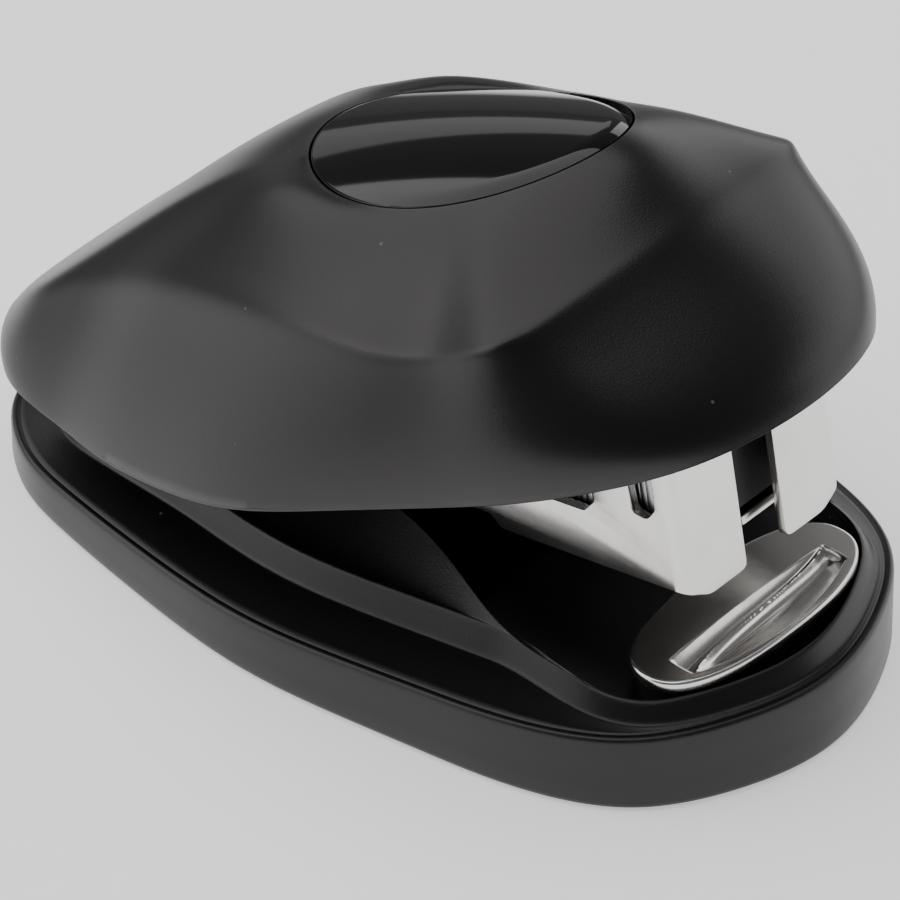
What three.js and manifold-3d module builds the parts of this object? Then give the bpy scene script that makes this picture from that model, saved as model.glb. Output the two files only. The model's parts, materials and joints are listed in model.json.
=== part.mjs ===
// Compact desk stapler, all sizes in millimetres.
// X runs across the stapler, -Y is the staple mouth, +Y the hinge end, +Z is up.
// The origin is the middle of the footprint, on the surface the stapler stands on.
import * as THREE from 'three';
import { mergeVertices } from 'three/addons/utils/BufferGeometryUtils.js';
import Module from 'manifold-3d';

const wasm = await Module();
wasm.setup();

// ---- driving sizes ---------------------------------------------------------
const LENGTH = 60.5;            // overall, mouth to hinge end
const BASE_WIDTH = 36.0;        // widest part of the base
const RIM_FRONT = 5.9;          // height of the base wall at the mouth
const RIM_BACK = 2.9;           // height of the base wall at the hinge end
const WALL = 1.8;               // moulded wall thickness
const GAP = 0.3;                // running clearance between pieces

const PIN_Y = LENGTH / 2 - 7.95;  // hinge pin axis
const PIN_Z = 10.6;
const PIN_R = 1.25;
const MAG_WIDTH = 14.6;         // outside width of the magazine channel
const MAG_REACH = LENGTH - 13.6;  // pin axis to the front face of the magazine
const NOSE_RISE = 8.08;         // how far the magazine nose stands above the pin axis at rest
const SHEET = 0.7;              // magazine and rail sheet thickness
const NOSE_BOTTOM = -6.2;       // underside of the front flanges, from the pin axis
const SIDE_BOTTOM = -5.2;       // lower edge of the side plates near the mouth
const FLOOR_Z = -4.6;           // underside of the channel floor
const SIDE_TOP = 3.4;           // upper edge of the channel
const FLANGE_GAP = 3.64;        // opening between the two front flanges

const STAPLE_WIDTH = 12.7;      // crown of the staple
const STAPLE_HEIGHT = 6.0;
const WIRE = 0.5;
const STRIP_LENGTH = Math.min(25, MAG_REACH - 21.9);  // fifty staples when there is room
const PRESS_STROKE = 8.14;      // travel of the cover's nose against the magazine
const BLADE_REACH = MAG_REACH - 1.5;  // pin axis to the middle of the driver blade
const BLADE_T = 0.5;
const BLADE_WIDTH = 12.5;

const ANVIL_Y = 6.95 - LENGTH / 2;  // middle of the anvil plate
const ANVIL_TOP = 7.9;
const ANVIL_T = 0.9;
const CRIMP_Y = ANVIL_Y - 1.2;  // middle of the clinching grooves
const WELL_FLOOR = 5.7;         // floor of the hollow around the anvil
const TROUGH_FLOOR = 4.0;       // floor of the trough under the magazine

const SEG = 64;                 // points round the moulded outlines
const deg = Math.PI / 180;
const MAG_TILT = Math.asin(NOSE_RISE / MAG_REACH) / deg;
const PRESS_ANGLE = Math.asin(PRESS_STROKE / MAG_REACH) / deg;

// ---- helpers ---------------------------------------------------------------
function toSolid(geometry) {
  const g = geometry.clone();
  g.deleteAttribute('normal');
  g.deleteAttribute('uv');
  const merged = mergeVertices(g, 1e-4);
  const index = merged.index.array;
  const tri = [];
  for (let i = 0; i < index.length; i += 3) {
    const [a, b, c] = [index[i], index[i + 1], index[i + 2]];
    if (a !== b && b !== c && c !== a) tri.push(a, b, c);
  }
  const mesh = new wasm.Mesh({
    numProp: 3,
    vertProperties: Float32Array.from(merged.attributes.position.array),
    triVerts: Uint32Array.from(tri),
  });
  return new wasm.Manifold(mesh);
}

function toGeometry(solid) {
  const mesh = solid.getMesh();
  const g = new THREE.BufferGeometry();
  g.setAttribute('position', new THREE.BufferAttribute(new Float32Array(mesh.vertProperties), 3));
  g.setIndex(new THREE.BufferAttribute(new Uint32Array(mesh.triVerts), 1));
  return g;
}

const union = (...list) => list.reduce((a, b) => a.add(b));

function box(x0, x1, y0, y1, z0, z1) {
  const g = new THREE.BoxGeometry(x1 - x0, y1 - y0, z1 - z0);
  g.translate((x0 + x1) / 2, (y0 + y1) / 2, (z0 + z1) / 2);
  return toSolid(g);
}

// the same box on both sides of the middle plane
function boxPair(x0, x1, y0, y1, z0, z1) {
  return union(box(x0, x1, y0, y1, z0, z1), box(-x1, -x0, y0, y1, z0, z1));
}

function rodX(r, x0, x1, y, z, segments = 32) {
  const g = new THREE.CylinderGeometry(r, r, x1 - x0, segments);
  g.rotateZ(Math.PI / 2);
  g.translate((x0 + x1) / 2, y, z);
  return toSolid(g);
}

function rodY(r, y0, y1, x, z, segments = 24) {
  const g = new THREE.CylinderGeometry(r, r, y1 - y0, segments);
  g.translate(x, (y0 + y1) / 2, z);
  return toSolid(g);
}

function rodZ(r, z0, z1, x, y, segments = 32) {
  const g = new THREE.CylinderGeometry(r, r, z1 - z0, segments);
  g.rotateX(Math.PI / 2);
  g.translate(x, y, (z0 + z1) / 2);
  return toSolid(g);
}

function shapeOf(points) {
  const shape = new THREE.Shape();
  points.forEach(([a, b], i) => (i ? shape.lineTo(a, b) : shape.moveTo(a, b)));
  shape.closePath();
  return shape;
}

// outline in the Y-Z plane, drawn through from x0 to x1
function acrossX(points, x0, x1) {
  const g = new THREE.ExtrudeGeometry(shapeOf(points), { depth: x1 - x0, bevelEnabled: false });
  const axes = new THREE.Matrix4().makeBasis(
    new THREE.Vector3(0, 1, 0), new THREE.Vector3(0, 0, 1), new THREE.Vector3(1, 0, 0));
  g.applyMatrix4(axes);
  g.translate(x0, 0, 0);
  return toSolid(g);
}

// outline in the X-Z plane, drawn through from y0 to y1
function alongY(points, y0, y1) {
  const g = new THREE.ExtrudeGeometry(shapeOf(points), { depth: y1 - y0, bevelEnabled: false });
  const axes = new THREE.Matrix4().makeBasis(
    new THREE.Vector3(1, 0, 0), new THREE.Vector3(0, 0, 1), new THREE.Vector3(0, -1, 0));
  g.applyMatrix4(axes);
  g.translate(0, y1, 0);
  return toSolid(g);
}

// outline in the X-Y plane, raised from z0 to z1
function upZ(points, z0, z1) {
  const g = new THREE.ExtrudeGeometry(shapeOf(points), { depth: z1 - z0, bevelEnabled: false });
  g.translate(0, 0, z0);
  return toSolid(g);
}

// rectangle with rounded corners, as outline points
function roundedRect(a0, a1, b0, b1, r, steps = 4) {
  const corners = [[a1 - r, b1 - r, 0], [a0 + r, b1 - r, 90], [a0 + r, b0 + r, 180], [a1 - r, b0 + r, 270]];
  const points = [];
  for (const [ca, cb, start] of corners) {
    for (let i = 0; i <= steps; i++) {
      const t = (start + (90 * i) / steps) * deg;
      points.push([ca + r * Math.cos(t), cb + r * Math.sin(t)]);
    }
  }
  return points;
}

// closed ring through half an outline and its mirror image
function mirroredRing(half) {
  const points = half.map(([x, y, z = 0]) => new THREE.Vector3(x, y, z));
  for (let i = half.length - 2; i > 0; i--) {
    const [x, y, z = 0] = half[i];
    points.push(new THREE.Vector3(-x, y, z));
  }
  const curve = new THREE.CatmullRomCurve3(points, true, 'catmullrom', 0.5);
  const ring = [];
  for (let i = 0; i < SEG; i++) ring.push(curve.getPoint(i / SEG));
  return ring;
}

// ring moved inward in plan by inset(i), at the height height(i)
function insetRing(ring, inset, height) {
  const n = ring.length;
  return ring.map((p, i) => {
    const t = new THREE.Vector3().subVectors(ring[(i + 1) % n], ring[(i + n - 1) % n]);
    const len = Math.hypot(t.x, t.y);
    const d = inset(p, i);
    return new THREE.Vector3(p.x - (t.y / len) * d, p.y + (t.x / len) * d, height(p, i));
  });
}

const mix = (a, b, s) => a.clone().lerp(b, s);

// solid skinned over rings of equal count, closed at both ends on a middle point
function skin(rings) {
  const n = rings[0].length;
  const verts = rings.flat();
  const centre = (ring) => ring.reduce((a, p) => a.add(p), new THREE.Vector3()).divideScalar(n);
  const first = verts.push(centre(rings[0])) - 1;
  const last = verts.push(centre(rings[rings.length - 1])) - 1;
  const index = [];
  for (let r = 0; r + 1 < rings.length; r++) {
    for (let i = 0; i < n; i++) {
      const [a, b] = [r * n + i, r * n + ((i + 1) % n)];
      index.push(a, b, b + n, a, b + n, a + n);
    }
  }
  const top = (rings.length - 1) * n;
  for (let i = 0; i < n; i++) {
    const j = (i + 1) % n;
    index.push(first, j, i, last, top + i, top + j);
  }
  const g = new THREE.BufferGeometry();
  g.setAttribute('position', new THREE.Float32BufferAttribute(verts.flatMap((p) => [p.x, p.y, p.z]), 3));
  g.setIndex(index);
  return toSolid(g);
}

// magazine frame (origin on the pin axis, channel level) to the stapler frame
function toMagazine(solid, extra = 0) {
  return solid.rotate([-(MAG_TILT + extra), 0, 0]).translate([0, PIN_Y, PIN_Z]);
}

const group = new THREE.Group();
group.name = 'stapler';

function part(name, solid, colour, roughness, metalness) {
  const material = new THREE.MeshStandardMaterial({ color: colour, roughness, metalness });
  const mesh = new THREE.Mesh(toGeometry(solid), material);
  mesh.name = name;
  group.add(mesh);
}

const BLACK = 0x1b1b1d;
const GLOSS = 0x0c0c0e;
const NICKEL = 0xc9c6c3;
const STEEL = 0x9a9ca0;
const RUBBER = 0x2a2a2c;

// ---- base ------------------------------------------------------------------
const ky = LENGTH / 60.5;
const kx = BASE_WIDTH / 36;
const halfBase = [
  [0, -30.25], [6.8, -28.6], [12.4, -24.7], [15.4, -18.4], [16.7, -11.2], [17.7, -3.6],
  [17.9, 3.4], [16.9, 11.2], [15.3, 19.4], [13.3, 24.8], [10.2, 28.3], [5.2, 29.9], [0, 30.25],
].map(([x, y]) => [x * kx, y * ky]);
const rim = mirroredRing(halfBase);
const rimZ = (p) => RIM_FRONT + ((RIM_BACK - RIM_FRONT) * (p.y + LENGTH / 2)) / LENGTH;
const smooth = (a, b, v) => THREE.MathUtils.smoothstep(v, a, b);

// a gently rising ledge inside the wall, then a soft step up to the raised body
const along = (y0, y1, p) => smooth(y0 * ky, y1 * ky, p.y);
const stepInset = (p) => 0.8 + 2.7 * along(-27, -14, p) - 0.9 * along(10, 26, p);
const stepZ = (p) => rimZ(p) + 0.15 + 1.45 * along(-27, -14, p) - 0.9 * along(8, 26, p);
const topZ = (p) => stepZ(p) + 1.15;
const crestZ = (p) => topZ(p) + 0.1 + 3.2 * along(-14, 2, p) - 2.0 * along(8, 26, p);
const blockRings = [
  insetRing(rim, () => 0.3, () => 0.15),
  insetRing(rim, () => 0.0, () => 0.5),
  insetRing(rim, () => 0.0, (p) => rimZ(p) - 0.35),
  insetRing(rim, () => 0.25, (p) => rimZ(p)),
  insetRing(rim, () => 0.6, (p) => rimZ(p) - 0.05),
  insetRing(rim, (p) => stepInset(p), (p) => stepZ(p)),
  insetRing(rim, (p) => stepInset(p) + 0.4, (p) => stepZ(p) + 0.6),
  insetRing(rim, (p) => stepInset(p) + 1.0, (p) => topZ(p)),
  insetRing(rim, (p) => stepInset(p) + 1.8, (p) => topZ(p) + 0.1),
  insetRing(rim, (p) => stepInset(p) + 3.4, (p) => crestZ(p)),
];
// two more rings, drawn in towards the middle plane, carry the crest over the top
const crest = blockRings[blockRings.length - 1];
for (const k of [0.55, 0.2]) {
  blockRings.push(crest.map((p) => new THREE.Vector3(p.x * k, p.y, p.z)));
}
const block = skin(blockRings);

// hollow round the anvil, open upward, and the trough the magazine sinks into
const halfWell = [
  [0, -27.9], [5.6, -27.2], [9.9, -24.4], [11.6, -19.4], [11.2, -13.0], [10.0, -8.2], [8.8, -4.6], [0, -3.4],
].map(([x, y]) => [x * kx, y * ky]);
const wellRing = mirroredRing(halfWell);
const well = skin([
  insetRing(wellRing, () => 0.9, () => WELL_FLOOR),
  insetRing(wellRing, () => 0.5, () => WELL_FLOOR + 0.5),
  insetRing(wellRing, () => 0.0, () => 9),
  insetRing(wellRing, () => -1.2, () => 20),
]);
const TROUGH_HALF = 8.9;
const trough = union(
  box(-TROUGH_HALF, TROUGH_HALF, -9 * ky, 26.4 * ky, TROUGH_FLOOR, 20),
  box(-TROUGH_HALF - 2.6, TROUGH_HALF + 2.6, PIN_Y, 25.6 * ky, TROUGH_FLOOR, 20));
const anvilOutline = [];
for (let i = 0; i < 48; i++) {
  const t = (i / 48) * 2 * Math.PI;
  const s = (v) => Math.sign(v) * Math.abs(v) ** (2 / 2.35);
  anvilOutline.push([9.3 * s(Math.cos(t)), ANVIL_Y + 3.85 * s(Math.sin(t))]);
}
const PAD_TOP = ANVIL_TOP - ANVIL_T - 0.05;
const padOutline = anvilOutline.map(([x, y]) => [x * 0.965, ANVIL_Y + (y - ANVIL_Y) * 0.93]);
const matRing = insetRing(rim, () => 2.4, () => 0);
const hollowRing = insetRing(rim, () => 4.2, () => 0);
const planOf = (ring) => ring.map((p) => [p.x, p.y]);
const SCREW_Y = [8, 15];
const bosses = SCREW_Y.map((y) => rodZ(2.6, 1.9, TROUGH_FLOOR + 0.2, 0, y * ky));
const anvilPost = rodZ(2.4, 2.5, 5.2, 0, ANVIL_Y + 1.7);
// the plate never touches the walls of its hollow
const plateRoom = anvilOutline.map(([x, y]) => [x * 1.035, ANVIL_Y + (y - ANVIL_Y) * 1.08]);
let shell = block.subtract(well).subtract(trough).subtract(upZ(plateRoom, PAD_TOP, 20));
shell = shell.add(upZ(padOutline, 4.8, PAD_TOP));
shell = shell.subtract(upZ(planOf(matRing), -1, 1.7));
shell = shell.subtract(upZ(planOf(hollowRing), 1, 2.7));
shell = union(shell, ...bosses, anvilPost);
for (const y of SCREW_Y) shell = shell.subtract(rodZ(0.95, 1.0, 9, 0, y * ky, 20));
const RIVET_X = 0;
shell = shell.subtract(rodZ(1.3, 1.0, 9, RIVET_X, ANVIL_Y + 1.7, 20));
part('base_shell', shell, BLACK, 0.45, 0);

const mat = upZ(planOf(insetRing(rim, () => 2.4 + GAP, () => 0)), 0, 1.4);
part('base_mat', mat, RUBBER, 0.9, 0);

// ---- anvil -----------------------------------------------------------------
// each clinching groove is a dish with a steep outer end; the pair meets in a slanting ridge
const CRIMP_HALF = 7.1;
function groove(side) {
  const lens = new THREE.SphereGeometry(1, 24, 12);
  lens.scale(5.6, 1.2, 0.75);
  lens.translate(side * 3.6, CRIMP_Y - side * 0.4, ANVIL_TOP + 0.1);
  const [x0, x1] = side > 0 ? [0, CRIMP_HALF] : [-CRIMP_HALF, 0];
  return toSolid(lens).intersect(box(x0 - 1.6, x1 + (side > 0 ? 0 : 1.6), -40, 0, 0, 20));
}
let anvil = upZ(anvilOutline, ANVIL_TOP - ANVIL_T, ANVIL_TOP);
anvil = anvil.subtract(groove(-1)).subtract(groove(1));
anvil = anvil.add(rodZ(0.95, 1.75, ANVIL_TOP - ANVIL_T + 0.1, RIVET_X, ANVIL_Y + 1.7, 20));
part('anvil_plate', anvil, NICKEL, 0.25, 1);
const clip = rodZ(2.3, 0, 0.5, 0, 0).subtract(rodZ(1.25, -1, 1, 0, 0));
part('anvil_clip', clip.translate([RIVET_X, ANVIL_Y + 1.7, 1.75]), STEEL, 0.4, 1);

// ---- bracket, screws, hinge ------------------------------------------------
const EAR_IN = MAG_WIDTH / 2 + GAP;
const EAR_OUT = EAR_IN + 0.8;
const BRACKET_Z = TROUGH_FLOOR + GAP;
const EAR_R = 2.2;
const ear = [
  [PIN_Y - 6, BRACKET_Z], [PIN_Y + EAR_R, BRACKET_Z], [PIN_Y + EAR_R, PIN_Z],
  ...Array.from({ length: 9 }, (_, i) => [
    PIN_Y + EAR_R * Math.cos((i + 0.5) * 19 * deg), PIN_Z + EAR_R * Math.sin((i + 0.5) * 19 * deg)]),
  [PIN_Y - EAR_R, PIN_Z],
];
const ears = union(acrossX(ear, EAR_IN, EAR_OUT), acrossX(ear, -EAR_OUT, -EAR_IN));
let bracket = union(box(-EAR_OUT, EAR_OUT, 5 * ky, PIN_Y + EAR_R, BRACKET_Z, BRACKET_Z + 0.7), ears);
bracket = bracket.subtract(rodX(PIN_R + 0.15, -12, 12, PIN_Y, PIN_Z));
for (const y of SCREW_Y) bracket = bracket.subtract(rodZ(1.2, 3, 7, 0, y * ky, 24));
part('base_bracket', bracket, STEEL, 0.35, 1);

SCREW_Y.forEach((y, i) => {
  const head = rodZ(1.9, BRACKET_Z + 1.1, BRACKET_Z + 1.7, 0, y * ky, 28);
  const shank = rodZ(0.8, 2.0, BRACKET_Z + 1.1, 0, y * ky, 20);
  const slot = union(
    box(-1.1, 1.1, y * ky - 0.2, y * ky + 0.2, BRACKET_Z + 1.3, BRACKET_Z + 2),
    box(-0.2, 0.2, y * ky - 1.1, y * ky + 1.1, BRACKET_Z + 1.3, BRACKET_Z + 2));
  part(`bracket_screw_${i + 1}`, head.add(shank).subtract(slot), STEEL, 0.35, 1);
});

const PIN_HALF = 10.3;
part('hinge_pin', union(
  rodX(PIN_R, -PIN_HALF + 0.3, PIN_HALF - 0.3, PIN_Y, PIN_Z),
  rodX(PIN_R - 0.3, -PIN_HALF, PIN_HALF, PIN_Y, PIN_Z)), STEEL, 0.25, 1);

// ---- magazine, in its own level frame --------------------------------------
const half = MAG_WIDTH / 2;
const STEP_Y = -MAG_REACH + 14.8;
const sidePlate = [
  [-MAG_REACH + 0.2, SIDE_BOTTOM], [STEP_Y, SIDE_BOTTOM], [STEP_Y + 0.8, SIDE_BOTTOM + 0.6],
  [STEP_Y + 0.8, FLOOR_Z + 0.5], [-3, FLOOR_Z + 0.5],
  [1.9, -2.4], [2.3, 0], [1.6, 1.7], [-1, 2.3], [-6, SIDE_TOP], [-MAG_REACH + 0.2, SIDE_TOP],
];
const sides = union(acrossX(sidePlate, half - SHEET, half), acrossX(sidePlate, -half, -half + SHEET));
const flange = roundedRect(FLANGE_GAP / 2, half, NOSE_BOTTOM, SIDE_TOP, 1.5);
const flanges = union(
  alongY(flange, -MAG_REACH, -MAG_REACH + SHEET),
  alongY(flange.map(([x, z]) => [-x, z]).reverse(), -MAG_REACH, -MAG_REACH + SHEET));
const RAIL_FRONT = -BLADE_REACH + BLADE_T / 2 + GAP;
const floor = union(
  box(-half + 0.1, half - 0.1, STEP_Y - SHEET, -3, FLOOR_Z, FLOOR_Z + SHEET),
  box(-half + 0.1, half - 0.1, RAIL_FRONT, STEP_Y, SIDE_BOTTOM, SIDE_BOTTOM + SHEET));
const slotWindow = roundedRect(-MAG_REACH + 1.6, -MAG_REACH + 3.6, -0.5, 2.6, 0.7);
const longWindow = roundedRect(-MAG_REACH + 6.9, -MAG_REACH + 13.4, -1.5, 2.2, 0.5);
const windows = union(acrossX(slotWindow, -9, 9), acrossX(longWindow, -9, 9));
const floorHoles = union(
  ...[10.9, 19.9, 28.9].map((d) => d - MAG_REACH).map((y) => box(-2, 2, y - 2.2, y + 2.2, FLOOR_Z - 1, FLOOR_Z + 2)));
let magazine = union(sides, flanges, floor).subtract(windows).subtract(floorHoles);
magazine = magazine.subtract(rodX(PIN_R + GAP, -9, 9, 0, 0));
part('magazine_body', toMagazine(magazine), NICKEL, 0.28, 1);

const STRIP_TOP = FLOOR_Z + SHEET + 0.2 + STAPLE_HEIGHT;
const RAIL_TOP = STRIP_TOP - WIRE - GAP;
const RAIL_HALF = STAPLE_WIDTH / 2 - WIRE - GAP;
const RAIL_BACK = -8;
const railZ = FLOOR_Z + SHEET + 0.05;
const slotRun = [RAIL_FRONT + 4, RAIL_BACK - SHEET - GAP];
let rail = union(
  box(-RAIL_HALF, RAIL_HALF, RAIL_FRONT, RAIL_BACK, RAIL_TOP - SHEET, RAIL_TOP),
  boxPair(RAIL_HALF - SHEET, RAIL_HALF, RAIL_FRONT, RAIL_BACK, railZ, RAIL_TOP),
  box(-RAIL_HALF, RAIL_HALF, RAIL_FRONT, RAIL_FRONT + SHEET, railZ, RAIL_TOP),
  box(-RAIL_HALF, RAIL_HALF, RAIL_BACK - SHEET, RAIL_BACK, railZ, RAIL_TOP));
rail = rail.subtract(box(-1.6, 1.6, slotRun[0], slotRun[1], RAIL_TOP - 1.5, RAIL_TOP + 1));
const ROD_Z = -1.5;
rail = rail.subtract(rodY(0.95, RAIL_FRONT + 0.3, RAIL_BACK + 1, 0, ROD_Z));
part('staple_rail', toMagazine(rail), BLACK, 0.5, 0);

// glued strip: one folded sheet with a shallow groove between neighbouring wires
const wires = Math.round(STRIP_LENGTH / WIRE);
const stripProfile = [
  [-STAPLE_WIDTH / 2, STRIP_TOP - STAPLE_HEIGHT], [-STAPLE_WIDTH / 2 + WIRE, STRIP_TOP - STAPLE_HEIGHT],
  [-STAPLE_WIDTH / 2 + WIRE, STRIP_TOP - WIRE], [STAPLE_WIDTH / 2 - WIRE, STRIP_TOP - WIRE],
  [STAPLE_WIDTH / 2 - WIRE, STRIP_TOP - STAPLE_HEIGHT], [STAPLE_WIDTH / 2, STRIP_TOP - STAPLE_HEIGHT],
  [STAPLE_WIDTH / 2, STRIP_TOP - 0.3], [STAPLE_WIDTH / 2 - 0.3, STRIP_TOP],
  [-STAPLE_WIDTH / 2 + 0.3, STRIP_TOP], [-STAPLE_WIDTH / 2, STRIP_TOP - 0.3],
];
const STRIP_FRONT = RAIL_FRONT;
const STRIP_BACK = STRIP_FRONT + wires * WIRE;
part('staple_strip', toMagazine(alongY(stripProfile, STRIP_FRONT, STRIP_BACK)), NICKEL, 0.35, 1);

// pusher: rides over the rail, its neck drops through the slot onto the rod
const PUSH_FRONT = STRIP_BACK + GAP;
const PUSH_BACK = PUSH_FRONT + 5;
const pushHalf = STAPLE_WIDTH / 2;
let pusher = union(
  box(-pushHalf, pushHalf, PUSH_FRONT, PUSH_BACK, RAIL_TOP + GAP, STRIP_TOP),
  boxPair(pushHalf - WIRE, pushHalf, PUSH_FRONT, PUSH_BACK, railZ + GAP, STRIP_TOP),
  box(-1.3, 1.3, PUSH_FRONT, PUSH_BACK, ROD_Z, RAIL_TOP + GAP + 0.1),
  rodY(2.0, PUSH_FRONT, PUSH_BACK, 0, ROD_Z));
pusher = pusher.subtract(rodY(0.7 + GAP, PUSH_FRONT - 1, PUSH_BACK + 1, 0, ROD_Z));
part('pusher', toMagazine(pusher), BLACK, 0.5, 0);

part('spring_rod', toMagazine(rodY(0.65, RAIL_FRONT + 0.4, RAIL_BACK - 0.1, 0, ROD_Z)), STEEL, 0.3, 1);

// helical spring swept as a tube of small circular section
function coil(radius, wire, y0, y1, turns, x, z) {
  const points = [];
  const steps = Math.round(turns * 8);
  for (let i = 0; i <= steps; i++) {
    const t = (i / 8) * 2 * Math.PI;
    const y = y0 + wire + ((y1 - y0 - 2 * wire) * i) / steps;
    points.push(new THREE.Vector3(x + radius * Math.cos(t), y, z + radius * Math.sin(t)));
  }
  const path = new THREE.CatmullRomCurve3(points);
  const section = shapeOf(Array.from({ length: 5 }, (_, i) => [
    wire * Math.cos(i * 72 * deg), wire * Math.sin(i * 72 * deg)]));
  return toSolid(new THREE.ExtrudeGeometry(section, { steps, extrudePath: path, bevelEnabled: false }));
}
part('pusher_spring',
  toMagazine(coil(1.55, 0.22, PUSH_BACK + 0.1, RAIL_BACK - SHEET - 0.1, 9, 0, ROD_Z)), STEEL, 0.3, 1);

// ---- cover -----------------------------------------------------------------
// the cover follows the nose of the magazine up or down
const lift = (y) => (NOSE_RISE - 8.08) * THREE.MathUtils.clamp((PIN_Y - y) / MAG_REACH, 0, 1);
// stations from the mouth to the hinge end: lower edge, then the crease above it
const coverStations = [
  [[0, -28.3, 25.4], [0, -18.7, 33.8]],
  [[5.4, -27.5, 25.1], [6.2, -17.9, 33.1]],
  [[10.0, -24.7, 23.9], [11.2, -16.7, 32.1]],
  [[13.5, -19.8, 21.9], [13.6, -14.9, 30.7]],
  [[15.6, -13.4, 19.2], [14.2, -11.0, 28.4]],
  [[17.2, -6.2, 16.2], [14.8, -6.0, 26.7]],
  [[18.4, 1.2, 13.1], [14.4, 1.0, 25.2]],
  [[17.8, 8.6, 10.6], [13.0, 8.8, 22.8]],
  [[16.6, 14.4, 9.1], [11.9, 14.0, 20.6]],
  [[15.0, 20.0, 8.2], [10.9, 19.8, 17.3]],
  [[13.4, 25.3, 8.0], [10.7, 24.6, 14.2]],
  [[8.9, 29.2, 8.0], [7.6, 27.4, 11.9]],
  [[0, 30.25, 8.0], [0, 28.3, 11.2]],
].map((pair) => pair.map(([x, y, z]) => [x * kx, y * ky, z + lift(y * ky)]));
const INLAY_Y = -1.5;
const INLAY_A = 7.8;
const INLAY_B = 11.1;
const crown = (x, y) => {
  const d = y - INLAY_Y;
  return 33.2 - 0.384 * d - 0.033 * x * x - 0.005 * d * d + lift(y);
};
const lowEdge = mirroredRing(coverStations.map((s) => s[0]));
const crease = mirroredRing(coverStations.map((s) => s[1]));
const ovalAt = (k, drop) => crease.map((p) => {
  const t = Math.atan2(p.x / INLAY_A, (p.y - INLAY_Y) / INLAY_B);
  const [x, y] = [k * INLAY_A * Math.sin(t), INLAY_Y + k * INLAY_B * Math.cos(t)];
  return new THREE.Vector3(x, y, crown(x, y) - drop);
});
const oval = ovalAt(1, 0);
const outward = insetRing(lowEdge, () => -1, (p) => p.z);
const bulge = (s, i) => {
  const d = new THREE.Vector3().subVectors(outward[i], lowEdge[i]);
  const front = 1 - smooth(-26 * ky, -8 * ky, lowEdge[i].y);
  return d.setZ(0.3).multiplyScalar((0.5 + 0.6 * front) * 6.75 * s * (1 - s) ** 2);
};
const wallRing = (s) => lowEdge.map((p, i) => mix(p, crease[i], s).add(bulge(s, i)));
const roofRing = (s) => crease.map((p, i) => {
  const q = mix(p, oval[i], s);
  q.z += (0.35 + 0.9 * smooth(-2 * ky, 14 * ky, p.y)) * 6.75 * s * s * (1 - s);
  return q;
});
const outer = [
  lowEdge, wallRing(0.3), wallRing(0.6), wallRing(0.85), crease, roofRing(0.2), roofRing(0.5), roofRing(0.8), oval,
];
// the same skin, moved inward along its own slope
function thinned(rings, t) {
  const n = SEG;
  return rings.map((ring, r) => ring.map((p, i) => {
    const up = rings[Math.min(r + 1, rings.length - 1)][i].clone().sub(rings[Math.max(r - 1, 0)][i]);
    const round = ring[(i + 1) % n].clone().sub(ring[(i + n - 1) % n]);
    const normal = new THREE.Vector3().crossVectors(round, up).normalize();
    if (r === 0) normal.setZ(0).normalize();
    return p.clone().addScaledVector(normal, -t);
  }));
}
const domed = (k, drop) => ovalAt(k, drop);
const outerSolid = skin([...outer, domed(0.66, 0), domed(0.33, 0)]);
function innerSolid(t) {
  const rings = thinned(outer, t);
  const low = rings[0].map((p) => p.clone().setZ(p.z - 3));
  return skin([low, ...rings, domed(0.66, t), domed(0.33, t)]);
}
const pocket = skin([
  ovalAt(0.985, 1.15), ovalAt(1.0, 0.5), ovalAt(1.0, -0.3), ovalAt(1.0, -4),
]);
const RIB_IN = EAR_OUT + GAP;
const RIB_OUT = RIB_IN + 2.2;
const rib = [
  [PIN_Y - 7, 13], [PIN_Y - 3, PIN_Z - 2.2], [PIN_Y, PIN_Z - 2.6], [PIN_Y + 3.2, PIN_Z - 1.6],
  [PIN_Y + 3.2, 30], [PIN_Y - 9, 30],
];
const ribs = union(acrossX(rib, RIB_IN, RIB_OUT), acrossX(rib, -RIB_OUT, -RIB_IN));
const ARM_POSTS = [[0, -12 * ky], [0, 4 * ky]];
const innerFace = innerSolid(WALL);
let cover = outerSolid.subtract(innerFace);
cover = cover.add(ribs.intersect(innerSolid(WALL * 0.5)));
cover = cover.subtract(rodX(PIN_R + GAP, -PIN_HALF - 0.2, PIN_HALF + 0.2, PIN_Y, PIN_Z));
// room for the bracket ears at rest and for the magazine when the cover is pressed
const bay = EAR_OUT + GAP;
cover = cover.subtract(box(-bay, bay, PIN_Y - 9, PIN_Y + EAR_R + GAP, 0, PIN_Z + EAR_R + GAP));
const magRoom = box(-half - GAP, half + GAP, -MAG_REACH - GAP, -3, -8, SIDE_TOP + GAP);
cover = cover.subtract(toMagazine(magRoom, PRESS_ANGLE));
// the lower edge is open behind the pin so the cover can swing back
cover = cover.subtract(box(-EAR_OUT - 0.5, EAR_OUT + 0.5, PIN_Y + 2, 40, 0, 10.2));
// thicker seat under the inlay, then the pocket it drops into
cover = cover.add(skin([ovalAt(1.08, 3.1), ovalAt(1.08, 1.2)]));
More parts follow.
